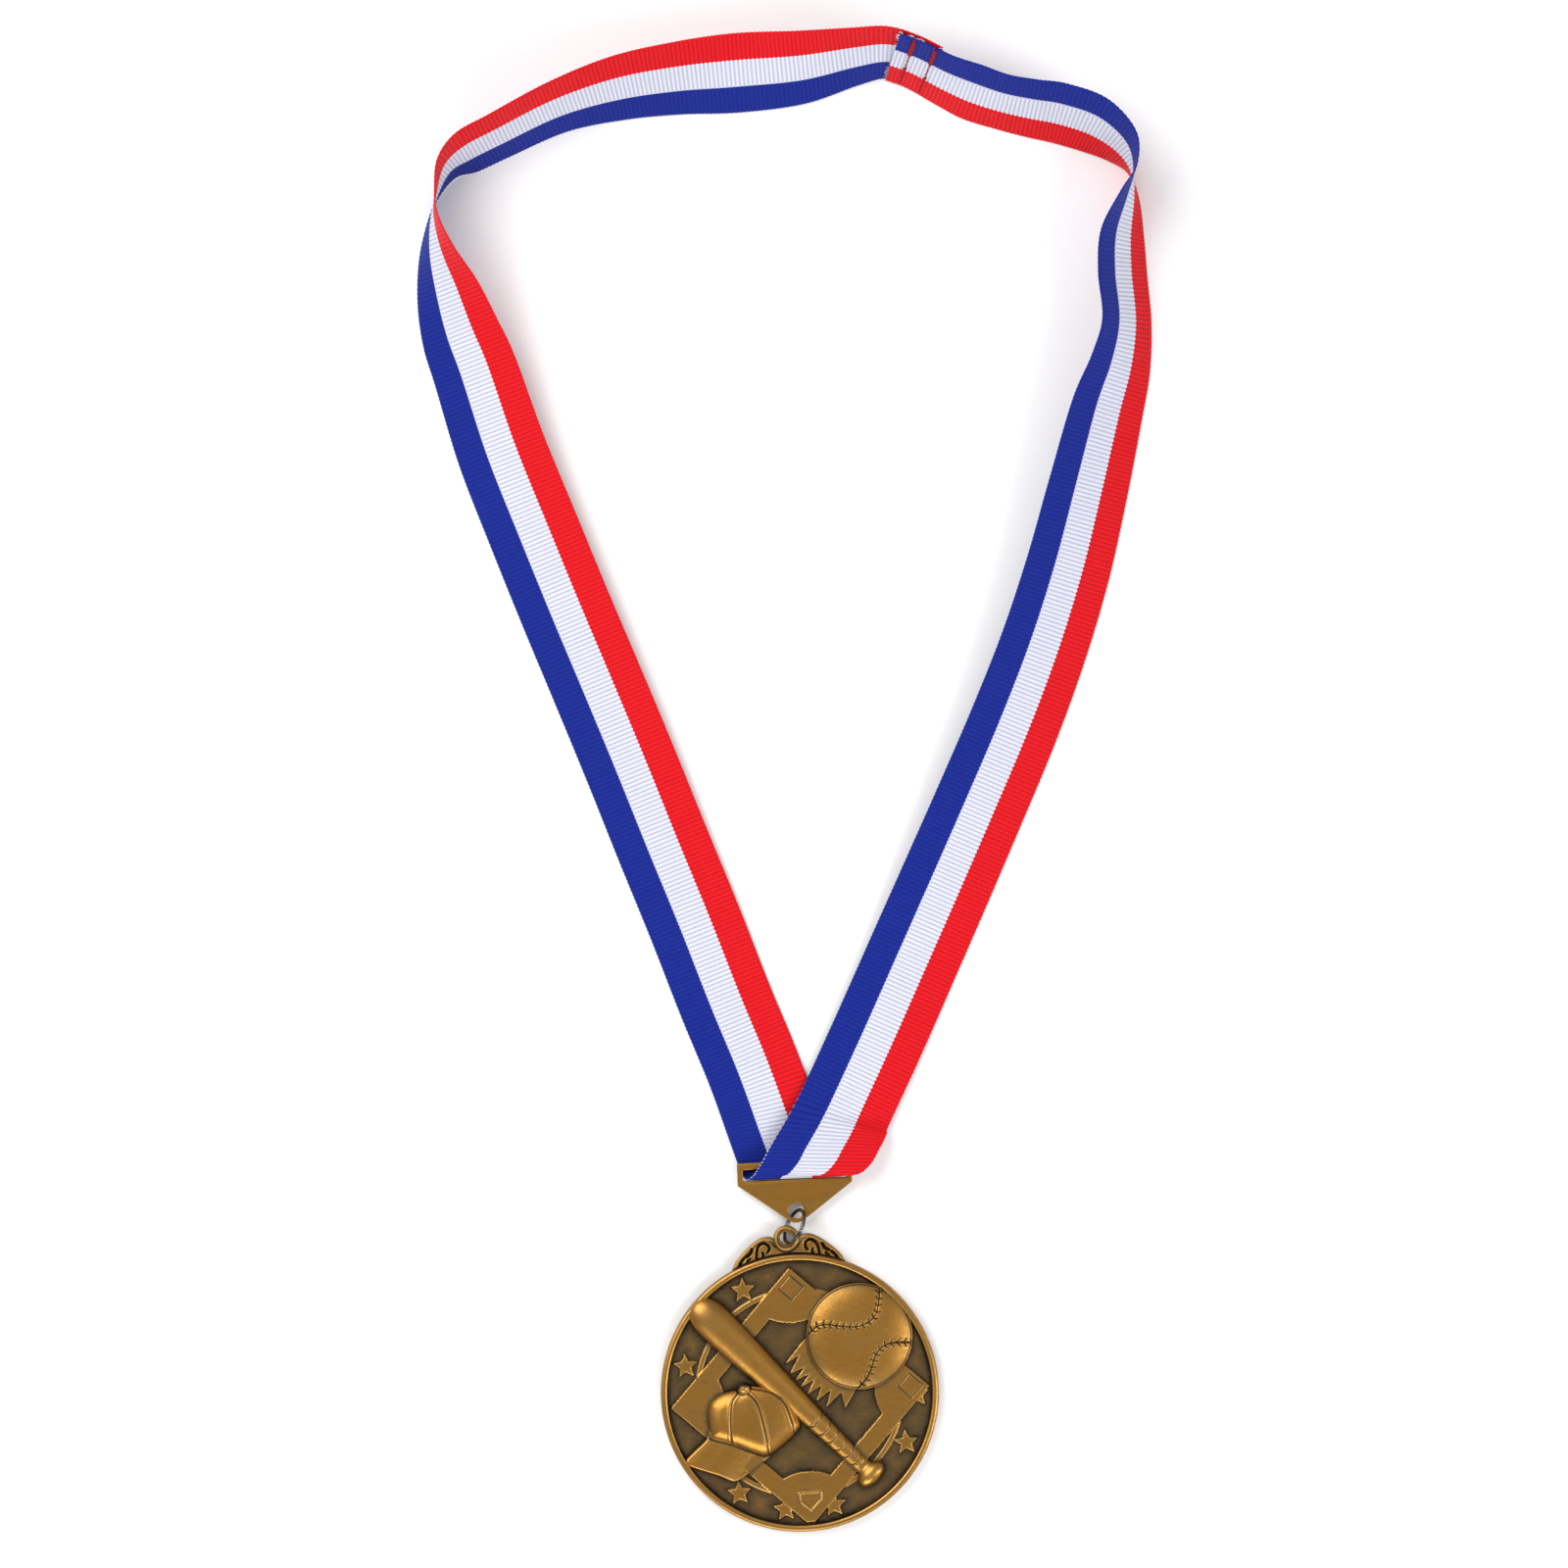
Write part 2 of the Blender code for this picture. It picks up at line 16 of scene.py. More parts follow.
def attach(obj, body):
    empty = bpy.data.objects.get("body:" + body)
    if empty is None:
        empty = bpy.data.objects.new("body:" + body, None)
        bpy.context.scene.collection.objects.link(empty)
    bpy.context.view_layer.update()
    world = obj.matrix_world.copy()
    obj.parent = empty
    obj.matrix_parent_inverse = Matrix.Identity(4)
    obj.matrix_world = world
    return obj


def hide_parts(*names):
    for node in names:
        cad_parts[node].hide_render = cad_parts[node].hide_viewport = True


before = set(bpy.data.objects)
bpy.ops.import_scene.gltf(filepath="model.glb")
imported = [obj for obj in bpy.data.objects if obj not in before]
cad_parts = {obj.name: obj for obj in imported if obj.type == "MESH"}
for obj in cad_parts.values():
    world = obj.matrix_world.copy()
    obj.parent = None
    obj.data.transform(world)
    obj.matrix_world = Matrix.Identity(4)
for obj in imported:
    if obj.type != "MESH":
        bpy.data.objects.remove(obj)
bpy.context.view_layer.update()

MM = 0.001
MEDAL_TURN = math.radians(5.0)
FIELD_Z = 2.2
FIELD_REACH, FIELD_RINGS = 30.2, 126
RIM_FOOT = 30.3
WALL_SLOPE = 0.24
PLATE_RISE, BAND_RISE, STAR_RISE, FRINGE_RISE = 0.7, 0.4, 0.6, 0.52
DIAMOND_CENTRE = (0.0, -1.0)
DIAMOND_REACH = 30.2
PATH_WIDTH = 4.1
BASE_CIRCLE = 12.7
STAR_ORBIT, STAR_TIP, STAR_NOTCH = 27.4, 2.8, 1.25
STAR_ANGLES = (114, 162, 234, 258, 282, 330, 354)
BALL_CENTRE, BALL_RADIUS = (15.0, 12.0), 12.5
BAT_BUTT, BAT_KNOB = (-18.9, 18.5), (14.6, -19.9)
EYELET = (0.0, 36.2)

# ---------------------------------------------------------------- plane curves and distances


def spline(points, steps, closed=False):
    """A smooth curve through points of any dimension, with steps samples between two of them."""
    p = np.asarray(points, float)
    count = len(p)
    spans = count if closed else count - 1
    made = []
    for i in range(spans):
        if closed:
            a, b, c, d = (p[(i + k) % count] for k in (-1, 0, 1, 2))
        else:
            a, b, c, d = p[max(i - 1, 0)], p[i], p[i + 1], p[min(i + 2, count - 1)]
        for t in np.arange(steps) / steps:
            bend = (2 * a - 5 * b + 4 * c - d) * t * t + (3 * b - a - 3 * c + d) * t**3
            made.append((2 * b + (c - a) * t + bend) / 2)
    if not closed:
        made.append(p[-1])
    return np.array(made)


def along_line(points, line):
    """Each point's distance to an open line."""
    near = np.full(len(points), 1e9)
    line = np.asarray(line, float)
    for a, b in zip(line, line[1:]):
        edge = b - a
        off = points - a
        t = np.clip(off @ edge / max(edge @ edge, 1e-12), 0, 1)
        near = np.minimum(near, np.hypot(*(off - t[:, None] * edge).T))
    return near


def outline_distance(points, outline):
    """Each point's signed distance to a closed outline, negative inside it."""
    a = np.asarray(outline, float)
    b = np.roll(a, -1, 0)
    x, y = points.T
    inside = np.zeros(len(points), bool)
    for (ax, ay), (bx, by) in zip(a, b):
        if ay != by:
            inside ^= ((ay > y) != (by > y)) & (x < (bx - ax) * (y - ay) / (by - ay) + ax)
    near = along_line(points, np.vstack([a, a[:1]]))
    return np.where(inside, -near, near)


def circle_distance(points, centre, radius):
    return np.hypot(points[:, 0] - centre[0], points[:, 1] - centre[1]) - radius


def snapped(points, distance, reach):
    """Moves each point within reach of an outline onto it, so that the edge there runs clean."""
    where = np.flatnonzero(np.abs(distance(points)) < reach)
    near, e = points[where], 0.004
    d = distance(near)
    slope = np.stack([distance(near + (e, 0)) - d, distance(near + (0, e)) - d], 1) / e
    points[where] = near - d[:, None] * slope
    return points


def arc(centre, radius, start, end, steps):
    a = np.radians(np.linspace(start, end, steps + 1))
    return np.stack([centre[0] + radius * np.cos(a), centre[1] + radius * np.sin(a)], 1)


def ramp(distance, width):
    """1 inside an outline, 0 from width outside it on, and smooth between."""
    t = np.clip(1 - distance / width, 0, 1)
    return t * t * (3 - 2 * t)


def dent(distance, width):
    return np.exp(-((distance / width) ** 2))


# ---------------------------------------------------------------- mesh makers


def remove_slivers(mesh):
    """Closes up the triangles that have no area, such as those at a pointed end."""
    shell = bmesh.new()
    shell.from_mesh(mesh)
    bmesh.ops.dissolve_degenerate(shell, dist=0.000003, edges=shell.edges)
    shell.to_mesh(mesh)
    shell.free()


def make_piece(name, points, faces, finish, body, replaced, marks=None, turn=0.0, sharp=40):
    """One mesh piece from points in millimetres, turned about the origin.

    marks are named values at its points. Edges over sharp degrees are shaded sharp, unless it is 0.
    """
    points = np.asarray(points, float)
    c, s = math.cos(turn), math.sin(turn)
    placed = points.copy()
    placed[:, 0] = c * points[:, 0] - s * points[:, 1]
    placed[:, 1] = s * points[:, 0] + c * points[:, 1]
    mesh = bpy.data.meshes.new(name)
    mesh.from_pydata((placed * MM).tolist(), [], [list(map(int, f)) for f in faces])
    for mark, values in (marks or {}).items():
        layer = mesh.attributes.new(mark, "FLOAT", "POINT")
        layer.data.foreach_set("value", np.asarray(values, np.float32))
    mesh.validate()
    remove_slivers(mesh)
    mesh.shade_smooth()
    if sharp:
        mesh.set_sharp_from_angle(angle=math.radians(sharp))
    mesh.materials.append(finish)
    piece = bpy.data.objects.new(name, mesh)
    bpy.context.scene.collection.objects.link(piece)
    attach(piece, body)
    if replaced:
        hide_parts(replaced)
    return piece


def make_medal_piece(name, points, faces, patina_and_shade, wear_and_highlight, sharp=0):
    """A piece of the medallion's bronze, made in its design frame."""
    marks = {"patina_and_shade": np.clip(patina_and_shade, 0, 1).reshape(-1), "wear_and_highlight": np.clip(wear_and_highlight, 0, 1).reshape(-1)}
    make_piece(name, points, faces, BRONZE, "medal", "medallion", marks,
               MEDAL_TURN, sharp)


def grid_quads(rows, columns, round_rows=False, round_columns=False):
    """Quads of a grid of points, which may join its last row or column to its first."""
    i = np.arange(rows if round_rows else rows - 1)[:, None]
    k = np.arange(columns if round_columns else columns - 1)
    below, beside = (i + 1) % rows, (k + 1) % columns
    corners = [i * columns + k, below * columns + k, below * columns + beside, i * columns + beside]
    return np.stack(corners, 2).reshape(-1, 4)


def disc_grid(radii):
    """Points and quads of a round grid: ring k holds 8k points at radii[k], and all cells are quads."""
    last = len(radii) - 1
    u, v = np.meshgrid(np.arange(-last, last + 1), np.arange(-last, last + 1), indexing="ij")
    ring = np.maximum(np.abs(u), np.abs(v))
    wide = np.abs(u) >= np.abs(v)
    safe_u, safe_v = np.where(u == 0, 1, u), np.where(v == 0, 1, v)
    angle = np.where(
        wide,
        math.pi / 4 * v / safe_u + np.where(u < 0, math.pi, 0),
        math.pi / 2 - math.pi / 4 * u / safe_v + np.where(v < 0, math.pi, 0),
    )
    r = np.asarray(radii)[ring]
    points = np.stack([r * np.cos(angle), r * np.sin(angle)], 2).reshape(-1, 2)
    size = 2 * last + 1
    # The outermost ring, anticlockwise from +X.
    edge = [(last, j) for j in range(0, last)] + [(i, last) for i in range(last, -last, -1)]
    edge += [(-last, j) for j in range(last, -last, -1)]
    edge += [(i, -last) for i in range(-last, last)] + [(last, j) for j in range(-last, 0)]
    border = [(i + last) * size + j + last for i, j in edge]
    return points, grid_quads(size, size), border


def box_grid(low, high, step):
    x = np.arange(low[0], high[0] + step, step)
    y = np.arange(low[1], high[1] + step, step)
    grid = np.stack(np.meshgrid(x, y, indexing="ij"), 2).reshape(-1, 2)
    return grid, grid_quads(len(x), len(y))


def split(quads, level):
    """Triangles of the quads, each cut along the diagonal whose ends are nearest in level."""
    a, b, c, d = quads.T
    first = np.abs(level[a] - level[c]) <= np.abs(level[b] - level[d])
    one = np.where(first, (a, b, c), (b, c, d)).T
    two = np.where(first, (a, c, d), (b, d, a)).T
    return np.concatenate([one, two])


def kept(points, faces, keep, *values):
    """The faces whose keep is set, without the points that only the others used."""
    faces = faces[keep]
    used, index = np.unique(faces, return_inverse=True)
    return (points[used], index.reshape(faces.shape), *[v[used] for v in values])


def border_edges(faces):
    ends = np.concatenate([faces[:, [k, (k + 1) % 3]] for k in range(3)])
    _, index, count = np.unique(
        np.sort(ends, 1), axis=0, return_inverse=True, return_counts=True
    )
    return ends[count[index.reshape(-1)] == 1]


def lathe(profile, centre, steps):
    """A closed ring turned about an upright axis, from a closed (radius, height) profile."""
    radius, height = np.asarray(profile, float).T
    rows = [
        np.stack([centre[0] + radius * math.cos(a), centre[1] + radius * math.sin(a), height], 1)
        for a in np.arange(steps) * 2 * math.pi / steps
    ]
    return np.vstack(rows), grid_quads(steps, len(radius), True, True)[:, ::-1]


def tube(path, radius, sides=8):
    """A thread along a path of 3-D points, narrowed at its two ends."""
    path = np.asarray(path, float)
    ahead = np.gradient(path, axis=0)
    ahead /= np.linalg.norm(ahead, axis=1)[:, None]
    side = np.cross(ahead, (0.13, 0.21, 1.0))
    side /= np.linalg.norm(side, axis=1)[:, None]
    up = np.cross(side, ahead)
    thick = np.full(len(path), float(radius))
    thick[[0, -1]] *= 0.45
    points = []
    for centre, s, w, r in zip(path, side, up, thick):
        for k in range(sides):
            b = 2 * math.pi * k / sides
            points.append(centre + r * (s * math.cos(b) + w * math.sin(b)))
    faces = grid_quads(len(path), sides, False, True).tolist()
    faces.append(range(sides))
    faces.append(range(len(points) - 1, len(points) - sides - 1, -1))
    return np.array(points), faces


def joined(parts):
    points, faces, offset = [], [], 0
    for part_points, part_faces in parts:
        points.append(part_points)
        faces += [tuple(i + offset for i in face) for face in part_faces]
        offset += len(part_points)
    return np.vstack(points), faces


# ---------------------------------------------------------------- finishes


class Nodes:
    """A short way to write a node material."""

    def __init__(self, name):
        self.material = bpy.data.materials.new(name)
        self.material.use_nodes = True
        self.tree = self.material.node_tree
        self.shader = self.tree.nodes["Principled BSDF"]
        self.place = self.add("ShaderNodeTexCoord").outputs["Object"]

    def add(self, kind, **settings):
        node = self.tree.nodes.new(kind)
        for key, value in settings.items():
            setattr(node, key, value)
        return node

    def give(self, socket, value):
        if isinstance(value, bpy.types.NodeSocket):
            self.tree.links.new(value, socket)
        elif value is not None:
            socket.default_value = value

    def mark(self, name):
        return self.add("ShaderNodeAttribute", attribute_name=name).outputs["Fac"]

    def maths(self, operation, a, b=None, c=None, clamp=False):
        node = self.add("ShaderNodeMath", operation=operation, use_clamp=clamp)
        for socket, value in zip(node.inputs, (a, b, c)):
            self.give(socket, value)
        return node.outputs[0]

    def noise(self, scale, detail=3.0, roughness=0.5, stretch=None):
        node = self.add("ShaderNodeTexNoise")
        place = self.place
        if stretch:
            spread = self.add("ShaderNodeMapping")
            self.give(spread.inputs["Vector"], place)
            spread.inputs["Scale"].default_value = stretch
            place = spread.outputs[0]
        self.give(node.inputs["Vector"], place)
        node.inputs["Scale"].default_value = scale
        node.inputs["Detail"].default_value = detail
        node.inputs["Roughness"].default_value = roughness
        return node.outputs["Fac"]

    def ramp(self, value, stops):
        node = self.add("ShaderNodeValToRGB")
        while len(node.color_ramp.elements) < len(stops):
            node.color_ramp.elements.new(0.5)
        for element, (at, colour) in zip(node.color_ramp.elements, stops):
            element.position = at
            element.color = (*colour, 1)
        self.give(node.inputs[0], value)
        return node.outputs[0]

    def span(self, value, low, high, to_low, to_high):
        node = self.add("ShaderNodeMapRange")
        for key, v in zip(
            ("Value", "From Min", "From Max", "To Min", "To Max"), (value, low, high, to_low, to_high)
        ):
            self.give(node.inputs[key], v)
        return node.outputs[0]

    def mix(self, factor, a, b, kind="MIX"):
        node = self.add("ShaderNodeMix", data_type="RGBA", blend_type=kind)
        for key, v in ((0, factor), (6, a), (7, b)):
            v = (*v, 1) if isinstance(v, tuple) and len(v) == 3 else v
            self.give(node.inputs[key], v)
        return node.outputs[2]

    def shaded(self, colour, amount, tint):
        """The colour, multiplied by the tint where amount is 1."""
        return self.mix(amount, colour, self.mix(1.0, colour, tint, "MULTIPLY"))

    def bump(self, height, strength, distance, below=None):
        node = self.add("ShaderNodeBump")
        self.give(node.inputs["Height"], height)
        node.inputs["Strength"].default_value = strength
        node.inputs["Distance"].default_value = distance
        if below is not None:
            self.give(node.inputs["Normal"], below)
        return node.outputs[0]

    def finish(self, colour, roughness, normal=None, **fixed):
        self.give(self.shader.inputs["Base Color"], colour)
        self.give(self.shader.inputs["Roughness"], roughness)
        if normal is not None:
            self.give(self.shader.inputs["Normal"], normal)
        for key, value in fixed.items():
            self.shader.inputs[key.replace("_", " ")].default_value = value
        return self.material


def bronze_finish(name, marked=True):
    """Antique bronze: rubbed gold-brown on what stands up, dark patina in what lies low, with painted
    shade and painted highlights where its marks hold them.
    """
    n = Nodes(name)
    cloud = n.noise(190, 4, 0.55)
    speck = n.noise(2600, 3, 0.6)
    grain = n.noise(7000, 2, 0.5)
    rubbed = n.noise(420, 5, 0.6, (1.0, 5.0, 1.0))
    # Dark where this mark is high: patina in the hollows, and painted shade on raised parts near the
    # tall reliefs.
    depth = n.mark("patina_and_shade") if marked else n.span(cloud, 0.3, 0.75, 0.0, 0.22)
    depth = n.maths("ADD", depth, n.span(cloud, 0.25, 0.75, -0.13, 0.13))
    depth = n.maths("ADD", depth, n.span(speck, 0.3, 0.7, -0.07, 0.07), clamp=True)
    colour = n.ramp(depth, [
        (0.0, (0.41, 0.195, 0.036)), (0.22, (0.31, 0.168, 0.044)), (0.5, (0.130, 0.082, 0.034)),
        (0.78, (0.060, 0.043, 0.025)), (1.0, (0.014, 0.011, 0.008)),
    ])
    colour = n.mix(n.span(rubbed, 0.45, 0.8, 0.0, 0.28), colour, (0.20, 0.100, 0.026))
    if marked:
        # Light where this mark is high: rubbed edges, and painted highlights along the bat's crest and
        # the brim's crease.
        colour = n.mix(n.maths("MULTIPLY", n.mark("wear_and_highlight"), 0.65), colour, (0.58, 0.36, 0.12))
    rough = n.span(depth, 0.0, 0.9, 0.33, 0.58)
    rough = n.maths("ADD", rough, n.span(rubbed, 0.3, 0.7, -0.05, 0.06))
    bumps = n.bump(grain, 0.16, 0.00004)
    bumps = n.bump(speck, 0.22, 0.00007, bumps)
    bumps = n.bump(cloud, 0.25, 0.0003, bumps)
    return n.finish(colour, rough, bumps, Metallic=1.0)


def nickel_finish():
    n = Nodes("bright_nickel")
    drawn = n.noise(1500, 3, 0.5, (1.0, 1.0, 6.0))
    colour = n.ramp(n.noise(700, 3), [(0.3, (0.055, 0.053, 0.052)), (0.7, (0.15, 0.147, 0.145))])
    return n.finish(colour, n.span(drawn, 0.3, 0.7, 0.12, 0.26), n.bump(drawn, 0.1, 0.00003),
                    Metallic=1.0)


RIB_PITCH = 1.0


def ribbon_finish():
    """Grosgrain in three stripes. across runs 0 to 1 over the width, along is in millimetres."""
    n = Nodes("ribbon_cloth")
    across, along = n.mark("across"), n.mark("along")
    beat = n.maths("DIVIDE", along, RIB_PITCH)
    tooth = n.maths("PINGPONG", beat, 0.5)
    edge = n.maths("MULTIPLY", n.maths("SUBTRACT", tooth, 0.25), 0.022)
    shifted = n.maths("ADD", across, edge)
    # Fine warp threads run along the ribbon and dive at every rib.
    warp = n.maths("SINE", n.maths("MULTIPLY", across, 2 * math.pi * 62))
    crest = n.maths("COSINE", n.maths("MULTIPLY", beat, 2 * math.pi))
    lint = n.noise(2400, 4, 0.65)
    fade = n.noise(45, 2)
    tint = n.span(lint, 0.3, 0.75, 0.0, 1.0)
    blue = n.mix(tint, (0.0035, 0.013, 0.19), (0.007, 0.024, 0.31))
    white = n.mix(tint, (0.60, 0.61, 0.71), (0.70, 0.71, 0.81))
    red = n.mix(tint, (0.60, 0.003, 0.008), (0.82, 0.007, 0.014))
    first = n.maths("GREATER_THAN", shifted, 1 / 3)
    second = n.maths("GREATER_THAN", shifted, 2 / 3)
    colour = n.mix(second, n.mix(first, blue, white), red)
    # A white selvage thread shows at the blue edge where the ribbon turns over.
    selvage = n.maths("MULTIPLY", n.maths("LESS_THAN", across, 0.010), n.mark("selvage"))
    catch = n.maths("GREATER_THAN", crest, 0.0)
    colour = n.mix(n.maths("MULTIPLY", n.maths("MULTIPLY", selvage, catch), 0.75), colour,
                   (0.70, 0.72, 0.84))
    # Painted shade: the colour darkens in the troughs between the ribs.
    colour = n.shaded(colour, n.span(crest, -1.0, 0.2, 0.62, 0.0), (0.38, 0.38, 0.45))
    # Painted shade: the colour darkens in the gaps between the warp threads.
    colour = n.shaded(colour, n.span(warp, -1.0, 0.0, 0.16, 0.0), (0.55, 0.55, 0.60))
    colour = n.shaded(colour, n.span(fade, 0.3, 0.7, 0.0, 0.10), (0.72, 0.72, 0.78))
    weave = n.maths("MULTIPLY", warp, n.span(crest, -1.0, 0.6, 0.2, 1.0))
    bumps = n.bump(weave, 0.35, 0.00005)
    bumps = n.bump(lint, 0.3, 0.00006, bumps)
    return n.finish(colour, n.span(lint, 0.3, 0.7, 0.55, 0.78), bumps, Sheen_Weight=0.03,
                    Sheen_Roughness=0.5, Specular_IOR_Level=0.12)


def thread_finish(name, dark, light):
    n = Nodes(name)
    ply = n.noise(3200, 4, 0.6, (1.0, 1.0, 0.4))
    colour = n.mix(n.span(ply, 0.35, 0.65, 0.0, 1.0), dark, light)
    return n.finish(colour, n.span(ply, 0.3, 0.7, 0.5, 0.7), n.bump(ply, 0.5, 0.00008),
                    Sheen_Weight=0.02, Specular_IOR_Level=0.2)


BRONZE = bronze_finish("antique_bronze")
PLATE_BRONZE = bronze_finish("antique_bronze_plate", marked=False)
NICKEL = nickel_finish()
CLOTH = ribbon_finish()
THREAD = thread_finish("sewing_thread", (0.16, 0.002, 0.006), (0.36, 0.004, 0.012))
FIBRE = thread_finish("frayed_fibre", (0.60, 0.63, 0.74), (0.80, 0.82, 0.90))

# ---------------------------------------------------------------- the medallion's outlines


def diamond_outlines():
    """The baseball diamond's outer square, and the hollow grass inside its paths."""
    x, y = DIAMOND_CENTRE
    reach = DIAMOND_REACH
    square = [(x + reach, y), (x, y + reach), (x - reach, y), (x, y - reach)]
    inner = (reach - PATH_WIDTH * math.sqrt(2)) / math.sqrt(2)
    outer = reach / math.sqrt(2)
    along = min(outer - math.sqrt(BASE_CIRCLE**2 - PATH_WIDTH**2), inner)
    spread = math.degrees(math.atan2(outer - inner, outer - along))
    grass = []
    for corner in range(4):
        facing = 90 * corner
        tip = (x + reach * math.cos(math.radians(facing)), y + reach * math.sin(math.radians(facing)))
        grass.append(arc(tip, BASE_CIRCLE, facing + 225 - spread, facing + 135 + spread, 24))
    return square, np.vstack(grass)


def star_outline(angle):
    a = math.radians(angle)
    centre = np.array((math.cos(a), math.sin(a))) * STAR_ORBIT
    turns = np.radians(90 + 36 * np.arange(10))
    reach = np.where(np.arange(10) % 2, STAR_NOTCH, STAR_TIP)
    return centre + np.stack([np.cos(turns), np.sin(turns)], 1) * reach[:, None]


BAT_WIDTHS = [(-6.2, 0.0), (-6.05, 1.1), (-5.6, 2.15), (-4.8, 3.1), (-3.6, 3.85), (-2.2, 4.3),
              (-0.6, 4.5), (3.0, 4.48), (9.0, 4.2), (16.0, 3.75), (24.0, 3.2), (32.0, 2.68),
              (40.0, 2.28), (46.0, 2.02), (48.6, 1.95), (49.4, 2.15), (50.1, 2.9), (50.7, 3.45),
              (51.4, 3.7), (52.2, 3.62), (52.9, 3.05), (53.5, 1.9), (53.8, 0.0)]


def bat_axes():
    butt, knob = np.array(BAT_BUTT), np.array(BAT_KNOB)
    ahead = (knob - butt) / np.linalg.norm(knob - butt)
    return butt, ahead, np.array((-ahead[1], ahead[0]))


def bat_outline():
    butt, ahead, aside = bat_axes()
    rows = spline(BAT_WIDTHS, 3)
    s, w = rows[:, :1], np.maximum(rows[:, 1:], 0)
    return np.vstack([butt + ahead * s + aside * w, (butt + ahead * s - aside * w)[::-1]])


CROWN = spline([
    (-14.6, 2.3), (-18.4, 1.5), (-21.2, -0.4), (-22.1, -3.8), (-21.9, -7.8), (-21.2, -9.1),
    (-16.4, -10.8), (-11.8, -13.1), (-8.5, -14.0), (-4.6, -11.8), (-1.8, -9.5), (-0.4, -7.6),
    (-1.1, -4.7), (-2.0, -1.9), (-3.5, 0.4), (-6.7, 2.0), (-10.4, 2.7), (-12.9, 3.0),
], 4, closed=True)
BRIM = spline([
    (-20.5, -5.8), (-22.9, -8.8), (-25.8, -11.2), (-28.0, -13.2), (-27.6, -14.8), (-23.8, -16.6),
    (-20.6, -17.9), (-18.1, -19.2), (-16.6, -19.5), (-14.2, -18.4), (-11.0, -16.2), (-7.6, -13.6),
    (-9.0, -9.0),
], 4, closed=True)
BUTTON = (-13.0, 2.2)
CAP_SEAMS = [spline(seam, 6) for seam in (
    [(-14.4, 1.3), (-15.8, -0.4), (-16.4, -2.6), (-16.8, -6.1), (-16.8, -10.8)],
    [(-12.0, 1.0), (-10.2, -1.4), (-9.3, -5.9), (-8.7, -10.5), (-8.3, -14.2)],
    [(-11.2, 2.1), (-6.8, 0.8), (-3.9, -1.8), (-2.7, -5.3), (-1.9, -9.3)],
)]
CREASE = [(-19.0, -10.9), (-24.4, -16.4)]
FRINGE = [(2.3, 12.4), (-2.7, 7.1), (0.9, 9.0), (-1.8, 4.7), (2.0, 6.1), (-0.7, 3.0), (3.0, 4.4),
          (0.3, 1.3), (3.9, 3.0), (1.8, -0.5), (5.4, 1.5), (3.9, -2.1), (7.4, 0.2), (6.1, -3.6),
          (9.7, -0.6), (10.3, -4.3), (13.0, -0.4), (15.0, 2.0), (10.0, 10.0)]
BASES = [(0.0, 24.7), (25.9, -0.5)]
HOME_PLATE = [(-2.3, -23.4), (2.9, -23.4), (2.75, -25.4), (0.4, -27.6), (-2.05, -25.3)]
BALL_SEAMS = [
    spline([(20.9, 24.2), (20.6, 22.0), (20.3, 20.1), (19.4, 17.1), (17.5, 15.2), (14.4, 14.4),
            (10.6, 14.9), (7.3, 15.5), (4.9, 14.9), (2.7, 13.0)], 8),
    spline([(27.6, 9.3), (25.6, 9.7), (22.8, 9.9), (20.6, 9.4), (18.8, 7.9), (17.8, 6.1),
            (17.0, 4.1), (16.2, 2.6), (14.9, 1.1), (13.1, -0.6)], 8),
]

SQUARE, GRASS = diamond_outlines()
STARS = [star_outline(angle) for angle in STAR_ANGLES]
BAT = bat_outline()


def plate_distance(p):
    return np.maximum(outline_distance(p, SQUARE), -outline_distance(p, GRASS))


def band_distance(p):
    """The outfield band, where the diamond's paths don't cover it."""
    return np.maximum(np.abs(np.hypot(*p.T) - 23.8) - 0.5, -plate_distance(p))


def stars_distance(p):
    """The stars, where the diamond's paths don't cover them."""
    stars = np.min([outline_distance(p, star) for star in STARS], axis=0)
    return np.maximum(stars, -plate_distance(p))


def fringe_distance(p):
    return outline_distance(p, FRINGE)


def ball_distance(p):
    return circle_distance(p, BALL_CENTRE, BALL_RADIUS)


def bat_distance(p):
    return outline_distance(p, BAT)


def crown_distance(p):
    return outline_distance(p, CROWN)


def cap_distance(p):
    return np.minimum(crown_distance(p), outline_distance(p, BRIM))


# ---------------------------------------------------------------- medallion disc

RIM = [(30.42, 2.2), (30.62, 2.24), (30.78, 2.42), (30.9, 2.86), (31.0, 3.16), (31.14, 3.33),
       (31.32, 3.4), (31.6, 3.42), (31.86, 3.4), (32.08, 3.34), (32.26, 3.2), (32.4, 3.0),
       (32.48, 2.78), (32.5, 2.5)]
BACK = [(32.5, 0.62), (32.4, 0.3), (32.2, 0.1), (31.9, 0.0), (28.5, 0.0), (28.35, 0.1),
        (28.15, 0.25), (27.45, 0.25), (27.25, 0.1), (27.1, 0.0)]
BACK_SHRINK = 27.1 / 620


def base_lines(points):
    """Each point's distance to the outlines of the bases."""
    near = np.full(len(points), 9.0)
    for x, y in BASES:
        corners = [(x + 2.9, y), (x, y + 2.9), (x - 2.9, y), (x, y - 2.9)]
        near = np.minimum(near, np.abs(outline_distance(points, corners)))
    return near


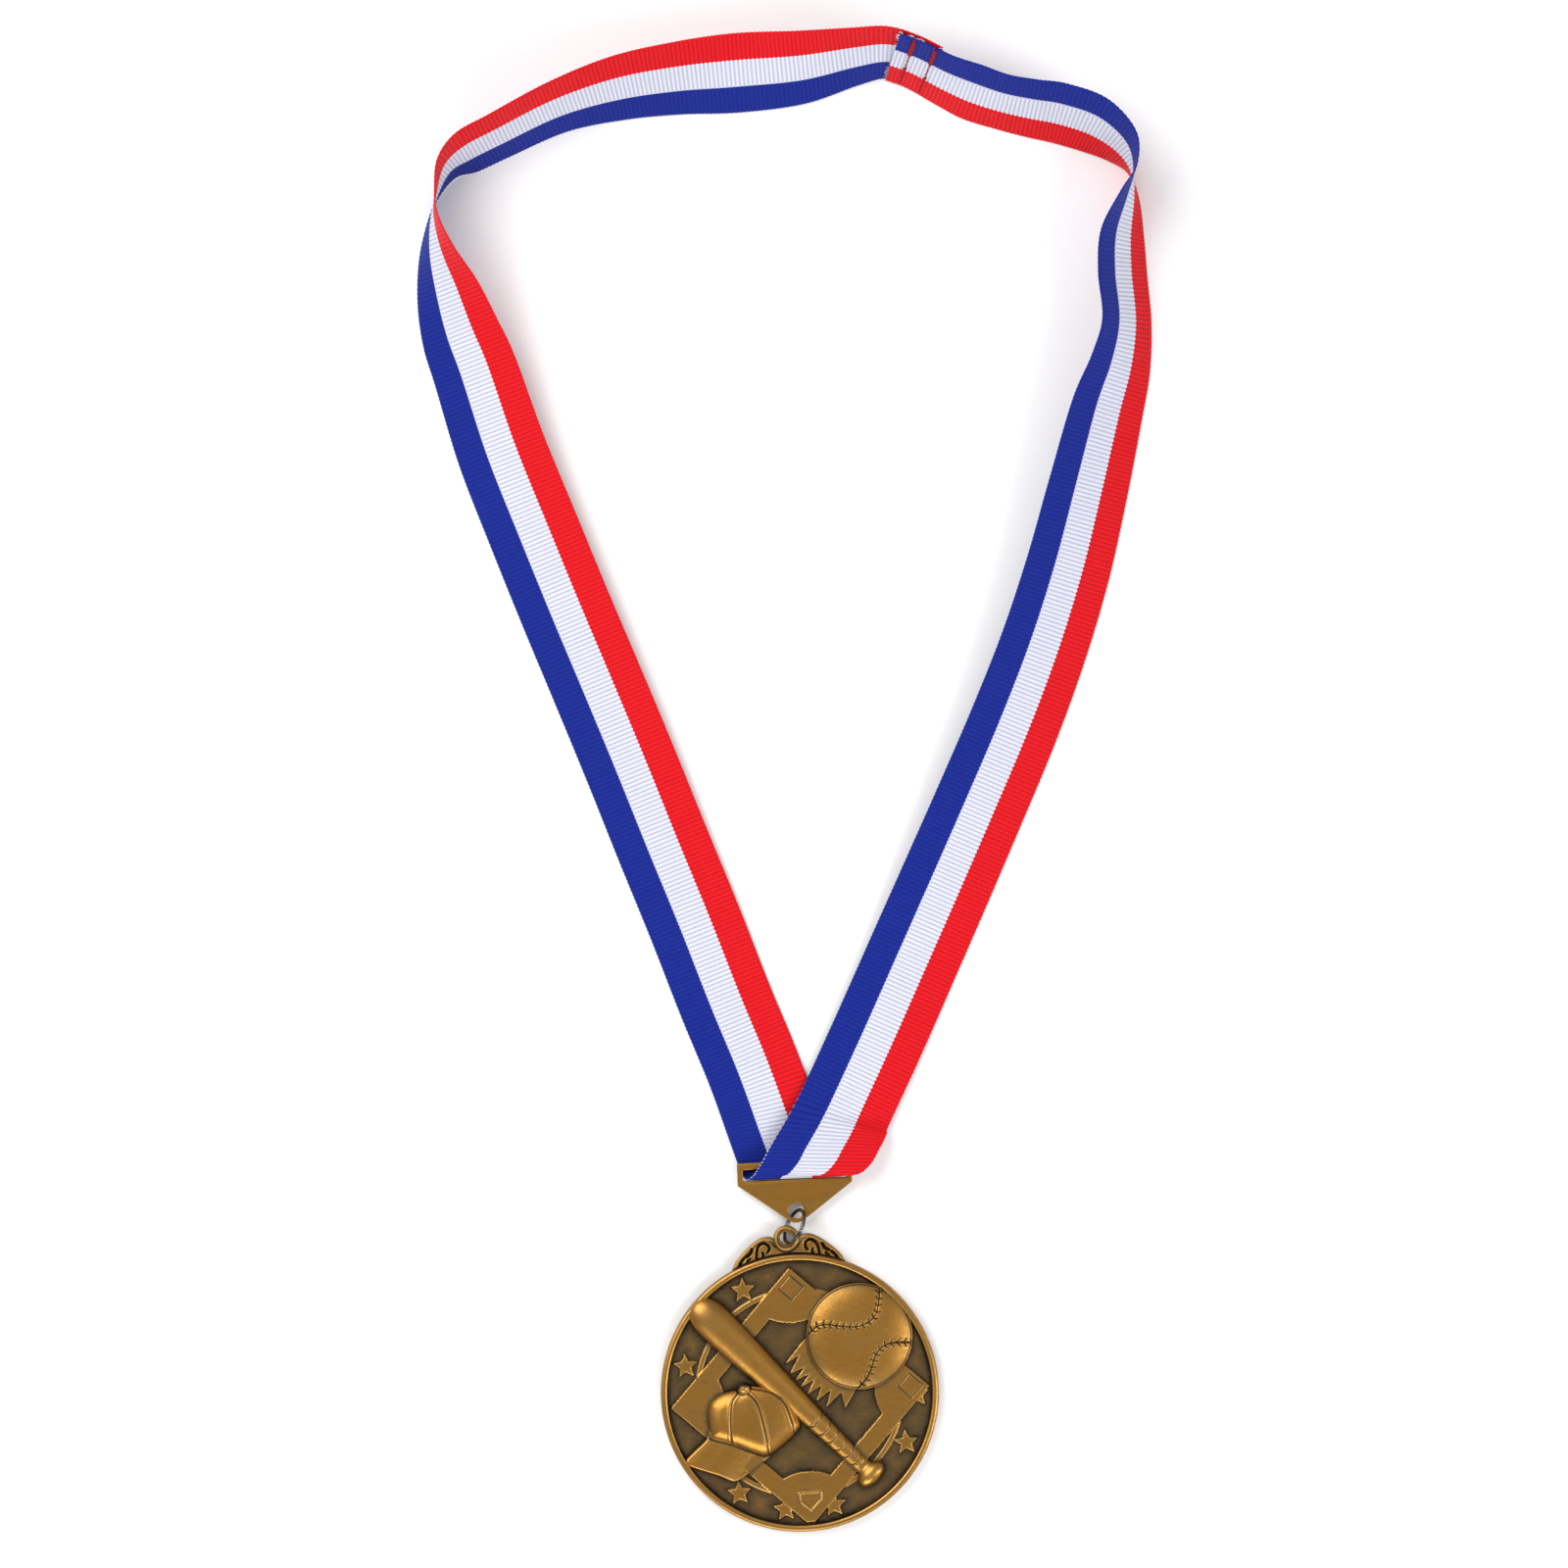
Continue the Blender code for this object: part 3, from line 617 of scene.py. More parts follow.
def disc_colouring(points, raised, nearest, lines, home):
    """Patina, rubbed edges and painted shade of the disc's upper side; the painted shade darkens raised
    parts near the ball, bat and cap.
    """
    r = np.hypot(*points.T)
    edge = np.abs(nearest)
    tall = np.min([np.abs(d(points)) for d in (ball_distance, bat_distance, cap_distance)], axis=0)
    rim_wall = np.abs(r - 30.75)
    low = 0.42 + 0.50 * np.exp(-np.min([edge, tall, rim_wall], axis=0) / 1.4)
    # Painted shade: raised parts are darkened near the tall ball, bat and cap, where their shadow
    # falls.
    high = 0.10 + 0.50 * np.exp(-tall / 0.55) + 0.75 * dent(lines, 0.2)
    high = high + 0.35 * dent(home - 0.45, 0.16) + 0.12 * np.exp(-rim_wall)
    patina_and_shade = np.where(raised, high, low)
    # The foot of every wall is black, and its top edge is rubbed bright.
    patina_and_shade = np.where(~raised & (nearest < 0.34), 0.98, patina_and_shade)
    on_rim = r > 30.95
    patina_and_shade = np.where(on_rim, 0.10 + 0.25 * dent(r - 32.5, 0.25), patina_and_shade)
    patina_and_shade = np.where((r > RIM_FOOT) & ~on_rim, 0.92, patina_and_shade)
    wear_and_highlight = np.where(raised, 0.50 * np.exp(-edge / 0.18) * (tall > 0.8), 0)
    wear_and_highlight = np.maximum(wear_and_highlight, 0.9 * dent(r - 31.2, 0.16) + 0.35 * dent(r - 32.2, 0.2))
    return patina_and_shade, np.maximum(wear_and_highlight, 0.5 * dent(home, 0.12))


def closed_back(solid, faces, border, patina_and_shade, wear_and_highlight):
    """The disc with its outer wall and its back added, ring by ring."""

    def add_ring(radius, z, depth, rubbed):
        nonlocal solid, patina_and_shade, wear_and_highlight
        count = len(angle)
        ring = np.column_stack([radius * np.cos(angle), radius * np.sin(angle), np.full(count, z)])
        solid = np.vstack([solid, ring])
        patina_and_shade = np.append(patina_and_shade, np.full(count, depth))
        wear_and_highlight = np.append(wear_and_highlight, np.full(count, rubbed))
        return np.arange(len(solid) - count, len(solid))

    angle = np.arctan2(solid[border, 1], solid[border, 0])
    previous = np.array(border)
    for radius, z in BACK:
        in_groove, outside = z > 0.05 and radius < 31, radius > 32
        current = add_ring(radius, z, 0.85 if in_groove else 0.3, 0.3 if outside else 0.0)
        ahead, behind = np.roll(current, -1), np.roll(previous, -1)
        faces += np.column_stack([previous, current, ahead, behind]).tolist()
        previous = current
    # The flat back closes in rings, each with half the points of the one outside it.
    while len(previous) % 2 == 0:
        angle = angle[::2]
        current = add_ring(BACK_SHRINK * len(angle), 0.0, 0.34, 0.0)
        even, odd = previous[::2], previous[1::2]
        faces += np.column_stack([even, current, odd]).tolist()
        faces += np.column_stack([odd, current, np.roll(current, -1), np.roll(even, -1)]).tolist()
        previous = current
    faces.append(previous[::-1])
    return solid, faces, patina_and_shade, wear_and_highlight


def make_disc():
    rim = np.array(RIM)
    points, quads, border = disc_grid(
        np.concatenate([np.linspace(0, FIELD_REACH, FIELD_RINGS), rim[:, 0]])
    )
    field = np.hypot(*points.T) < RIM_FOOT
    for distance in (stars_distance, fringe_distance, plate_distance, band_distance):
        points[field] = snapped(points[field], distance, 0.105)

    r = np.hypot(*points.T)
    reliefs = [(plate_distance(points), PLATE_RISE), (band_distance(points), BAND_RISE),
               (stars_distance(points), STAR_RISE), (fringe_distance(points), FRINGE_RISE)]
    lift = np.max([rise * ramp(d, WALL_SLOPE) for d, rise in reliefs], axis=0)
    nearest = np.min([d for d, _ in reliefs], axis=0)
    lines = base_lines(points)
    home = np.abs(outline_distance(points, HOME_PLATE))
    height = FIELD_Z + lift - 0.16 * dent(lines, 0.16) + 0.20 * dent(home, 0.2)
    height = np.where(r > RIM_FOOT, np.interp(r, rim[:, 0], rim[:, 1]), height)
    patina_and_shade, wear_and_highlight = disc_colouring(points, lift > 0.3, nearest, lines, home)
    faces = split(quads, height).tolist()
    make_medal_piece("medal_disc", *closed_back(np.column_stack([points, height]), faces, border,
                                                patina_and_shade, wear_and_highlight))


# ---------------------------------------------------------------- ball, bat and cap


def seam_strokes(seam):
    """Short stitches in V pairs along a seam line."""
    step = np.linalg.norm(np.diff(seam, axis=0), axis=1)
    run = np.concatenate([[0], np.cumsum(step)])
    strokes = []
    for at in np.arange(0.9, run[-1] - 0.4, 1.55):
        x, y = np.interp(at, run, seam[:, 0]), np.interp(at, run, seam[:, 1])
        x2, y2 = np.interp(at + 0.1, run, seam[:, 0]), np.interp(at + 0.1, run, seam[:, 1])
        ahead = np.array((x2 - x, y2 - y))
        ahead /= np.linalg.norm(ahead)
        aside = np.array((-ahead[1], ahead[0]))
        for sign in (-1, 1):
            tip = np.array((x, y)) + aside * sign * 0.85 - ahead * 0.55
            strokes.append(np.array([(x, y), tip]))
    return strokes


def make_ball():
    radii = np.concatenate([np.linspace(0, 11.7, 92), [11.86, 12.0, 12.12, 12.3, 12.42, 12.5, 12.5]])
    points, quads, border = disc_grid(radii)
    r = np.hypot(*points.T)
    points = points + BALL_CENTRE
    dome = 2.9 + 2.0 * np.maximum(1 - (r / 12.25) ** 2, 0) ** 0.47
    z = np.where(r < 12.06, dome, np.interp(r, [12.06, 12.3, 12.42, 12.49], [3.14, 3.1, 2.95, 2.6]))
    z[border] = 1.7
    seams = np.min([along_line(points, seam) for seam in BALL_SEAMS], axis=0)
    strokes = np.min(
        [along_line(points, stroke) for seam in BALL_SEAMS for stroke in seam_strokes(seam)], axis=0
    )
    groove = dent(seams, 0.15)
    stitch = dent(strokes, 0.15)
    puff = 0.05 * dent(seams - 0.55, 0.35)
    z = z + np.where(r < 11.9, puff - 0.20 * np.maximum(groove, stitch), 0)
    patina_and_shade = 0.05 + 1.1 * np.maximum(groove, stitch) + 0.8 * dent(r - 12.1, 0.12)
    patina_and_shade += 0.18 * dent(r - 11.3, 0.9)
    patina_and_shade = np.where(r > 12.44, 0.85, patina_and_shade)
    wear_and_highlight = 0.5 * dent(r - 12.3, 0.1) + 0.16 * dent(r, 6.0) * (1 - groove)
    make_medal_piece("medal_ball", np.column_stack([points, z]), split(quads, z), patina_and_shade, wear_and_highlight, 60)


def make_bat():
    butt, ahead, aside = bat_axes()
    rows = spline(BAT_WIDTHS, 5)
    fine = np.unique(np.concatenate([rows[:, 0], np.arange(31.5, 49.2, 0.12)]))
    fine = np.clip(fine, -6.2, 53.8)
    width = np.interp(fine, rows[:, 0], np.maximum(rows[:, 1], 0))
    turns = np.radians(np.linspace(-112, 112, 81))
    s, t = np.meshgrid(fine, turns, indexing="ij")
    w = np.repeat(width[:, None], len(turns), 1)
    wraps = [33.4, 36.2, 38.9, 41.5, 44.0, 46.4]
    cut = np.max([dent(s - at - 1.25 * np.cos(t) + 0.5, 0.16) for at in wraps], axis=0)
    swell = np.where((s > 33.4) & (s < 48.0), 0.10, 0.0)
    w = np.maximum(w + swell * np.clip(np.cos(t), 0, 1) - 0.20 * cut, 0)
    flat = 0.62
    x = butt[0] + ahead[0] * s + aside[0] * w * np.sin(t)
    y = butt[1] + ahead[1] * s + aside[1] * w * np.sin(t)
    z = FIELD_Z + flat * w * np.cos(t) + 0.12 * (w > 0.2)
    points = np.stack([x, y, z], 2).reshape(-1, 3)
    quads = grid_quads(len(fine), len(turns))
    patina_and_shade = 0.06 + 0.85 * cut + 0.75 * np.clip((np.abs(t) - 1.3) / 0.3, 0, 1)
    patina_and_shade += 0.10 * dent(s + 1.0, 3.0)
    # The pale strip along the bat's crest is partly rubbing and partly a painted highlight.
    wear_and_highlight = 0.22 * dent(t, 0.5) * (1 - cut) + 0.35 * dent(s - 51.6, 0.5)
    make_medal_piece("medal_bat", points, quads, patina_and_shade, wear_and_highlight)


def make_cap():
    points, quads = box_grid((-28.9, -20.4), (0.4, 4.4), 0.145)
    points = snapped(points, cap_distance, 0.07)
    crown, whole = crown_distance(points), cap_distance(points)
    x, y = points.T
    deep = np.clip(-crown / 3.4, 0, 1)
    oval = ((x + 11.0) / 11.5) ** 2 + ((y + 5.2) / 9.6) ** 2
    top = FIELD_Z + 1.75 * np.sqrt(np.maximum(1 - (1 - deep) ** 2, 0)) + 1.2 * np.clip(1 - oval, 0, 1)
    top = np.where(crown < 0.0, top, 0.0)
    a, b = np.array(CREASE[0]), np.array(CREASE[1])
    along = (b - a) / np.linalg.norm(b - a)
    side = (points - a) @ np.array((-along[1], along[0]))
    brim = 3.75 - 0.018 * side**2
    brim = np.maximum(brim, 2.75)
    round_edge = np.clip(-whole / 0.75, 0, 1)
    brim = FIELD_Z + (brim - FIELD_Z) * np.sqrt(np.maximum(1 - (1 - round_edge) ** 2, 0))
    brim -= 0.28 * dent(np.clip(crown, 0, None), 0.28)
    z = np.where(crown < 0, np.maximum(top, brim * (crown > -0.3)), brim)
    seams = np.min([along_line(points, seam) for seam in CAP_SEAMS], axis=0)
    groove = dent(seams, 0.13) * (crown < -0.1)
    z += np.where(crown < -0.3, 0.09 * dent(seams - 0.5, 0.3) - 0.20 * groove, 0)
    knob = np.hypot((x - BUTTON[0]) / 1.55, (y - BUTTON[1]) / 1.2)
    z = np.where(knob < 1, np.maximum(z, 3.75 + 1.05 * np.sqrt(np.clip(1 - knob**2, 0, 1))), z)
    z -= 0.25 * dent(knob - 1.12, 0.12) * (crown < -0.1)
    cap_or_knob = np.minimum(whole, (knob - 1) * 1.2)
    z = np.where(cap_or_knob > 0.02, 1.7, z)
    patina_and_shade = 0.08 + 0.85 * groove + 0.85 * dent(knob - 1.12, 0.12)
    patina_and_shade += np.where(crown > 0, 0.75 * dent(crown, 0.42), 0.55 * dent(crown, 0.3))
    patina_and_shade += 0.6 * dent(whole, 0.2)
    patina_and_shade = np.where(cap_or_knob > 0.02, 0.95, patina_and_shade)
    wear_and_highlight = 0.45 * dent(seams - 0.42, 0.16) * (crown < -1.0) + 0.5 * dent(knob, 0.5)
    # The brim's outer edge is rubbed bright, and the pale band along its crease is a painted highlight.
    wear_and_highlight += 0.4 * dent(whole + 0.55, 0.22) * (crown > 0.2) + 0.18 * dent(side, 1.2) * (crown > 0.3)
    faces = split(quads, z)
    keep = (cap_or_knob[faces] < 0.30).any(1)
    solid = np.column_stack([points, z])
    solid, faces, patina_and_shade, wear_and_highlight = kept(solid, faces, keep, patina_and_shade, wear_and_highlight)
    make_medal_piece("medal_cap", solid, faces, patina_and_shade, wear_and_highlight)


# ---------------------------------------------------------------- crest and eyelet

HUMP = spline([(-13.6, 29.0), (-12.3, 31.6), (-10.5, 33.5), (-8.4, 35.3), (-6.4, 36.5),
               (-4.6, 36.9), (-3.2, 36.5), (-2.4, 35.4)], 5)
CREST = np.vstack([HUMP, (HUMP * (-1, 1))[::-1], arc((0, 0), 31.7, 66, 114, 20)])
SCROLLS = [
    (spline([(7.4, 32.1), (7.1, 34.0), (6.4, 35.1), (5.3, 35.5), (4.4, 34.9), (4.25, 33.9),
             (4.7, 33.3)], 5), 0.30),
    (spline([(8.3, 34.4), (8.6, 33.4), (9.6, 32.7)], 5), 0.34),
    (spline([(10.2, 32.4), (10.9, 31.7), (11.4, 30.9)], 4), 0.30),
    (spline([(9.6, 31.6), (9.2, 31.9), (8.8, 32.2)], 4), 0.24),
    (spline([(5.9, 33.4), (5.7, 32.8), (5.9, 32.4)], 4), 0.26),
]


def make_crest():
    points, quads = box_grid((-14.0, 28.6), (14.0, 37.2), 0.13)

    def body(p):
        away = 3.12 - np.hypot(p[:, 0] - EYELET[0], p[:, 1] - EYELET[1])
        return np.maximum(outline_distance(p, CREST), away)

    points = snapped(points, body, 0.065)
    edge = body(points)
    x, y = points.T
    reach = np.hypot(x - EYELET[0], y - EYELET[1])
    under = (reach > 2.55) & (reach < 3.3) & (y < 34.6)
    under |= (np.abs(x) < 2.6) & (y < 33.7) & (y > 31.0)
    mirrored = np.column_stack([np.abs(x), y])
    scrolls = np.zeros(len(points))
    for line, width in SCROLLS:
        scrolls = np.maximum(scrolls, dent(along_line(mirrored, line) / width, 1.0) ** 1.5)
    z = 3.0 - 0.75 * scrolls
    border = np.abs(outline_distance(points, CREST))
    z -= 0.22 * dent(border - 0.95, 0.16) * (np.hypot(x, y) > 33.0)
    z -= 0.25 * dent(border, 0.16)
    arch = np.hypot(x, y) - 32.55
    z -= 0.35 * dent(arch, 0.22)
    recess = (edge > 0.02) & under
    z = np.where(recess, 1.95, z)
    patina_and_shade = 0.12 + 0.95 * scrolls + 0.5 * dent(border - 0.95, 0.2) + 0.8 * dent(arch, 0.35)
    patina_and_shade += 0.6 * dent(np.clip(edge, None, 0), 0.3) * (np.hypot(x, y - 36.2) < 4)
    patina_and_shade = np.where(recess, 1.0, patina_and_shade)
    wear_and_highlight = 0.45 * dent(border - 0.35, 0.25)
    faces = split(quads, np.clip(edge, -0.13, 0.13))
    inside = (edge[faces] < 0.015).all(1)
    inside |= under[faces].all(1) & (np.hypot(x, y)[faces] > 31.6).all(1)
    top, faces, patina_and_shade, wear_and_highlight = kept(np.column_stack([points, z]), faces, inside, patina_and_shade, wear_and_highlight)
    count = len(top)
    lower = np.column_stack([top[:, :2], np.full(count, 0.8)])
    walls = [(a, a + count, b + count, b) for a, b in border_edges(faces)]
    faces = faces.tolist() + (faces[:, ::-1] + count).tolist() + walls
    make_medal_piece("medal_crest", np.vstack([top, lower]), faces,
                     np.append(patina_and_shade, np.full(count, 0.35)), np.append(wear_and_highlight, np.zeros(count)), 50)


def make_eyelet():
    profile = [(1.5, 2.1), (1.56, 1.9), (1.78, 1.8), (2.6, 1.8), (2.88, 1.92), (3.0, 2.2),
               (3.03, 2.5), (2.95, 2.8), (2.74, 2.97), (2.5, 3.0), (2.26, 2.93), (2.1, 2.8),
               (1.98, 2.74), (1.76, 2.75), (1.6, 2.68), (1.5, 2.5)]
    profile = spline(profile, 3, closed=True)
    steps = 120
    points, faces = lathe(profile, EYELET, steps)
    r, z = np.tile(profile, (steps, 1)).T
    patina_and_shade = 0.12 + 0.6 * dent(r - 2.04, 0.14) * (z > 2.5) + 0.5 * dent(r - 3.03, 0.08)
    wear_and_highlight = 0.7 * dent(r - 2.5, 0.2) * (z > 2.8)
    make_medal_piece("medal_eyelet", points, faces, patina_and_shade, wear_and_highlight)


# ---------------------------------------------------------------- hanger and jump ring

HANGER_AT, HANGER_TURN, PLATE_MID_Z = (-0.87, 42.58), math.radians(2.5), 2.4
HANGER_THICK, HANGER_HALF, HANGER_TOP, SHOULDER = 1.3, 13.4, 11.55, 6.2
TIP_RADIUS, HANGER_HOLE = 2.85, 1.85
SLOT_HALF, SLOT_LOW, SLOT_HIGH = 12.05, 7.3, 9.95
HANGER_BEVEL = 0.18
RING_AT, RING_RADIUS, WIRE_RADIUS = np.array((-1.285, 38.98, 4.2)), 4.05, 0.45


def rounded(corners, radius, steps=5):
    """An outline with each corner eased to the radius."""
    corners = np.asarray(corners, float)
    made = []
    for i, corner in enumerate(corners):
        before, after = corners[i - 1] - corner, corners[(i + 1) % len(corners)] - corner
        before, after = before / np.linalg.norm(before), after / np.linalg.norm(after)
        half = math.acos(np.clip(before @ after, -1, 1)) / 2
        cut = radius / math.tan(half)
        a, b = corner + before * cut, corner + after * cut
        for t in np.linspace(0, 1, steps + 1):
            made.append((1 - t) ** 2 * a + 2 * t * (1 - t) * corner + t * t * b)
    return np.array(made)


def make_hanger():
    reach = math.hypot(HANGER_HALF, SHOULDER)
    touch = math.degrees(math.atan2(SHOULDER, HANGER_HALF) - math.acos(TIP_RADIUS / reach))
    shoulders = rounded([(0, 0), (HANGER_HALF, SHOULDER), (HANGER_HALF, HANGER_TOP),
                         (-HANGER_HALF, HANGER_TOP), (-HANGER_HALF, SHOULDER)], 0.45)[6:]
    outline = np.vstack([arc((0, 0), TIP_RADIUS, -180 - touch, touch, 40), shoulders])
    slot = rounded([(-SLOT_HALF, SLOT_LOW), (SLOT_HALF, SLOT_LOW), (SLOT_HALF, SLOT_HIGH),
                    (-SLOT_HALF, SLOT_HIGH)], 0.35)
    hole = arc((0, 0), HANGER_HOLE, 0, 354, 59)
    shape = bpy.data.curves.new("hanger_shape", "CURVE")
    shape.dimensions = "2D"
    shape.fill_mode = "BOTH"
    shape.extrude = (HANGER_THICK / 2 - HANGER_BEVEL) * MM
    shape.bevel_depth = HANGER_BEVEL * MM
    shape.bevel_resolution = 3
    shape.offset = -HANGER_BEVEL * MM
    for loop in (outline, slot, hole):
        line = shape.splines.new("POLY")
        line.points.add(len(loop) - 1)
        line.points.foreach_set("co", np.column_stack([loop * MM, np.zeros(len(loop)),
                                                       np.ones(len(loop))]).reshape(-1))
        line.use_cyclic_u = True
    draft = bpy.data.objects.new("hanger_draft", shape)
    bpy.context.scene.collection.objects.link(draft)
    bpy.context.view_layer.update()
    mesh = bpy.data.meshes.new_from_object(draft.evaluated_get(bpy.context.evaluated_depsgraph_get()))
    bpy.data.objects.remove(draft)
    bpy.data.curves.remove(shape)
    mesh.name = "hanger_plate"
    x, y = HANGER_AT
    mesh.transform(Matrix.Translation((x * MM, y * MM, PLATE_MID_Z * MM))
                   @ Matrix.Rotation(HANGER_TURN, 4, "Z"))
    mesh.materials.clear()
    mesh.materials.append(PLATE_BRONZE)
    mesh.shade_smooth()
    mesh.set_sharp_from_angle(angle=math.radians(28))
    plate = bpy.data.objects.new("hanger_plate", mesh)
    bpy.context.scene.collection.objects.link(plate)
    merge = plate.modifiers.new("merge", "WELD")
    merge.merge_threshold = 0.000002
    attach(plate, "hanger")
    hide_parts("ribbon_hanger")


def make_jump_ring():
    heading, tilt, slit = math.radians(25), math.radians(66), math.radians(3)
    long_way = np.array((math.sin(heading), math.cos(heading), 0))
    across = np.array((math.cos(heading), -math.sin(heading), 0))
    up_way = across * math.cos(tilt) + np.array((0, 0, math.sin(tilt)))
    normal = np.cross(long_way, up_way)
    sides, points = 24, []
    turns = math.pi / 2 + slit / 2 + (2 * math.pi - slit) * np.linspace(0, 1, 145)
    wire = np.full(len(turns), WIRE_RADIUS)
    # The wire's two cut ends are eased.
    wire[[0, -1]] = 0.36
    wire[[1, -2]] = 0.44
    for a, radius in zip(turns, wire):
        out = long_way * math.cos(a) + up_way * math.sin(a)
        for b in np.arange(sides) * 2 * math.pi / sides:
            side = out * math.cos(b) + normal * math.sin(b)
            points.append(RING_AT + out * RING_RADIUS + side * radius)
    faces = grid_quads(len(turns), sides, False, True)[:, [0, 3, 2, 1]].tolist()
    faces.append(range(sides - 1, -1, -1))
    faces.append(range(len(points) - sides, len(points)))
    make_piece("jump_ring_wire", points, faces, NICKEL, "ring", "jump_ring")


# ---------------------------------------------------------------- ribbon

RIBBON_WIDTH, RIBBON_THICK = 22.0, 0.5
STITCH_ROWS_AT = (25.0, 29.6)
STITCH_TURNS = 34
FIBRES_AT_END, FIBRES_AT_LAP = 46, 16
# Each station is (x, y, lean, lift). Lean is the angle in degrees from the inward level
# direction up to the line that runs from the blue edge to the red edge. Lift is how far the
# lower edge is off the floor.
LEFT_SIDE = [
    (31.0, 308.2, 115, 0.3), (25.5, 310.9, 115, 0.3), (20.0, 312.3, 117, 0.2),
    (12.4, 311.3, 122, 0.1), (0.0, 309.0, 135, 0.1), (-15.0, 307.8, 141, 0.1),
    (-29.0, 306.4, 134, 0.1), (-42.6, 304.0, 127, 0.1), (-56.4, 299.6, 118, 0.1),
    (-70.0, 292.9, 114, 0.1), (-77.5, 289.0, 112, 0.1), (-82.0, 285.4, 101, 0.1),
    (-84.3, 279.8, 90, 0.1), (-85.3, 274.2, 82, 0.1), (-84.6, 266.0, 66, 0.1),
    (-82.1, 256.8, 46, 0.1), (-79.3, 247.6, 32, 0.1), (-75.8, 238.5, 24, 0.1),
    (-69.7, 220.1, 16, 0.1), (-62.4, 201.8, 12, 0.1), (-54.9, 183.4, 10, 0.1),
    (-47.2, 165.1, 8, 0.1), (-39.6, 146.8, 6, 0.1), (-32.2, 128.4, 4, 0.1),
    (-24.7, 110.1, 2, 0.1), (-17.5, 91.7, 0, 0.2), (-11.0, 76.0, 0, 0.3),
]
RIGHT_SIDE = [
    (10.9, 67.1, 180, 1.5), (18.0, 82.5, 181, 0.8), (26.2, 101.0, 184, 0.1),
    (34.2, 119.2, 188, 0.1), (42.2, 137.6, 192, 0.1), (50.0, 156.0, 195, 0.1),
    (56.9, 174.3, 200, 0.1), (62.6, 192.6, 204, 0.1), (67.2, 211.0, 210, 0.1),
    (71.6, 229.3, 218, 0.1), (74.7, 240.0, 228, 0.1), (76.1, 250.0, 236, 0.1),
    (75.1, 261.0, 236, 0.1), (75.1, 270.0, 240, 0.1), (76.8, 279.0, 256, 0.1),
    (77.3, 285.0, 272, 0.1), (74.8, 290.5, 290, 0.1), (68.6, 295.4, 302, 0.1),
    (60.5, 298.2, 304, 0.1), (53.7, 299.4, 302, 0.1), (46.8, 300.9, 300, 0.1),
    (39.9, 303.2, 301, 0.1), (33.5, 305.9, 297, 0.2), (27.0, 309.2, 295, 0.6),
    (21.6, 311.2, 295, 0.6),
]
BACK_RULINGS = [
    ((-16.5, 58.8, 0.7), (5.9, 62.0, 0.7)),
    ((-15.05, 54.75, 0.7), (7.95, 56.7, 0.7)),
    ((-14.3, 52.5, 0.7), (9.05, 53.9, 0.7)),
]
BAR_RULINGS = [
    ((-8.6, 54.4, 4.1), (16.9, 54.1, 6.4)),
    ((-7.3, 57.0, 3.9), (18.3, 56.6, 5.5)),
    ((-5.3, 60.4, 3.5), (19.6, 58.9, 4.5)),
    ((-2.9, 64.4, 2.9), (20.4, 60.8, 3.5)),
]
# Rulings of the turn round the bar, from back to front, in the hanger's frame. The ribbon crosses
# the bar at a slant, and in front its red edge stands up and swells out past the slot's end.
FOLD_RULINGS = [
    ((-12.6, 9.4, -1.7), (10.9, 9.4, -1.7)),
    ((-12.2, 8.55, -1.47), (11.2, 8.55, -1.47)),
    ((-11.7, 7.93, -0.85), (11.4, 7.93, -0.85)),
    ((-11.2, 7.7, 0.0), (11.5, 7.7, 0.0)),
    ((-10.6, 7.93, 0.85), (11.5, 7.88, 1.05)),
    ((-9.8, 8.55, 1.47), (11.5, 8.3, 2.1)),
    ((-9.2, 9.2, 1.68), (13.6, 7.9, 3.7)),
    ((-8.6, 10.1, 1.75), (15.8, 8.5, 4.4)),
]


def rulings_of(stations):
    """Rows of the blue edge's point and the red edge's point, of the middle surface."""
    rows = []
    last = len(stations) - 1
    for i, (x, y, lean, lift) in enumerate(stations):
        before, after = stations[max(i - 1, 0)], stations[min(i + 1, last)]
        heading = np.array((after[0] - before[0], after[1] - before[1], 0.0))
        heading /= np.linalg.norm(heading)
        inward = np.array((-heading[1], heading[0], 0.0))
        lean = math.radians(lean)
        half = (inward * math.cos(lean) + np.array((0, 0, math.sin(lean)))) * RIBBON_WIDTH / 2
        rise = abs(half[2]) + abs(math.cos(lean)) * RIBBON_THICK / 2 + lift
        centre = np.array((x, y, rise))
        rows.append(np.concatenate([centre - half, centre + half]))
    return rows


def fold_rulings():
    x, y = HANGER_AT
    place = Matrix.Translation((x, y, PLATE_MID_Z)) @ Matrix.Rotation(HANGER_TURN, 4, "Z")
    return [np.array([*(place @ Vector(blue)), *(place @ Vector(red))])
            for blue, red in FOLD_RULINGS]


def ribbon_route():
    """Blue edge, red edge and run of the middle surface, at even steps of a quarter rib."""
    back = [np.concatenate([a, b]) for a, b in BACK_RULINGS]
    front = [np.concatenate([a, b]) for a, b in BAR_RULINGS]
    rows = rulings_of(LEFT_SIDE) + back + fold_rulings() + front + rulings_of(RIGHT_SIDE)
    dense = spline(rows, 12)
    middle = (dense[:, :3] + dense[:, 3:]) / 2
    run = np.concatenate([[0], np.cumsum(np.linalg.norm(np.diff(middle, axis=0), axis=1))])
    count = int(run[-1] / RIB_PITCH * 4)
    even = np.linspace(0, run[-1], count + 1)
    smooth = np.stack([np.interp(even, run, dense[:, k]) for k in range(6)], 1)
    return smooth[:, :3], smooth[:, 3:], even


def strip_normals(blue, red):
    along = np.gradient((blue + red) / 2, axis=0)
    normal = np.cross(red - blue, along)
    return normal / np.linalg.norm(normal, axis=1)[:, None]


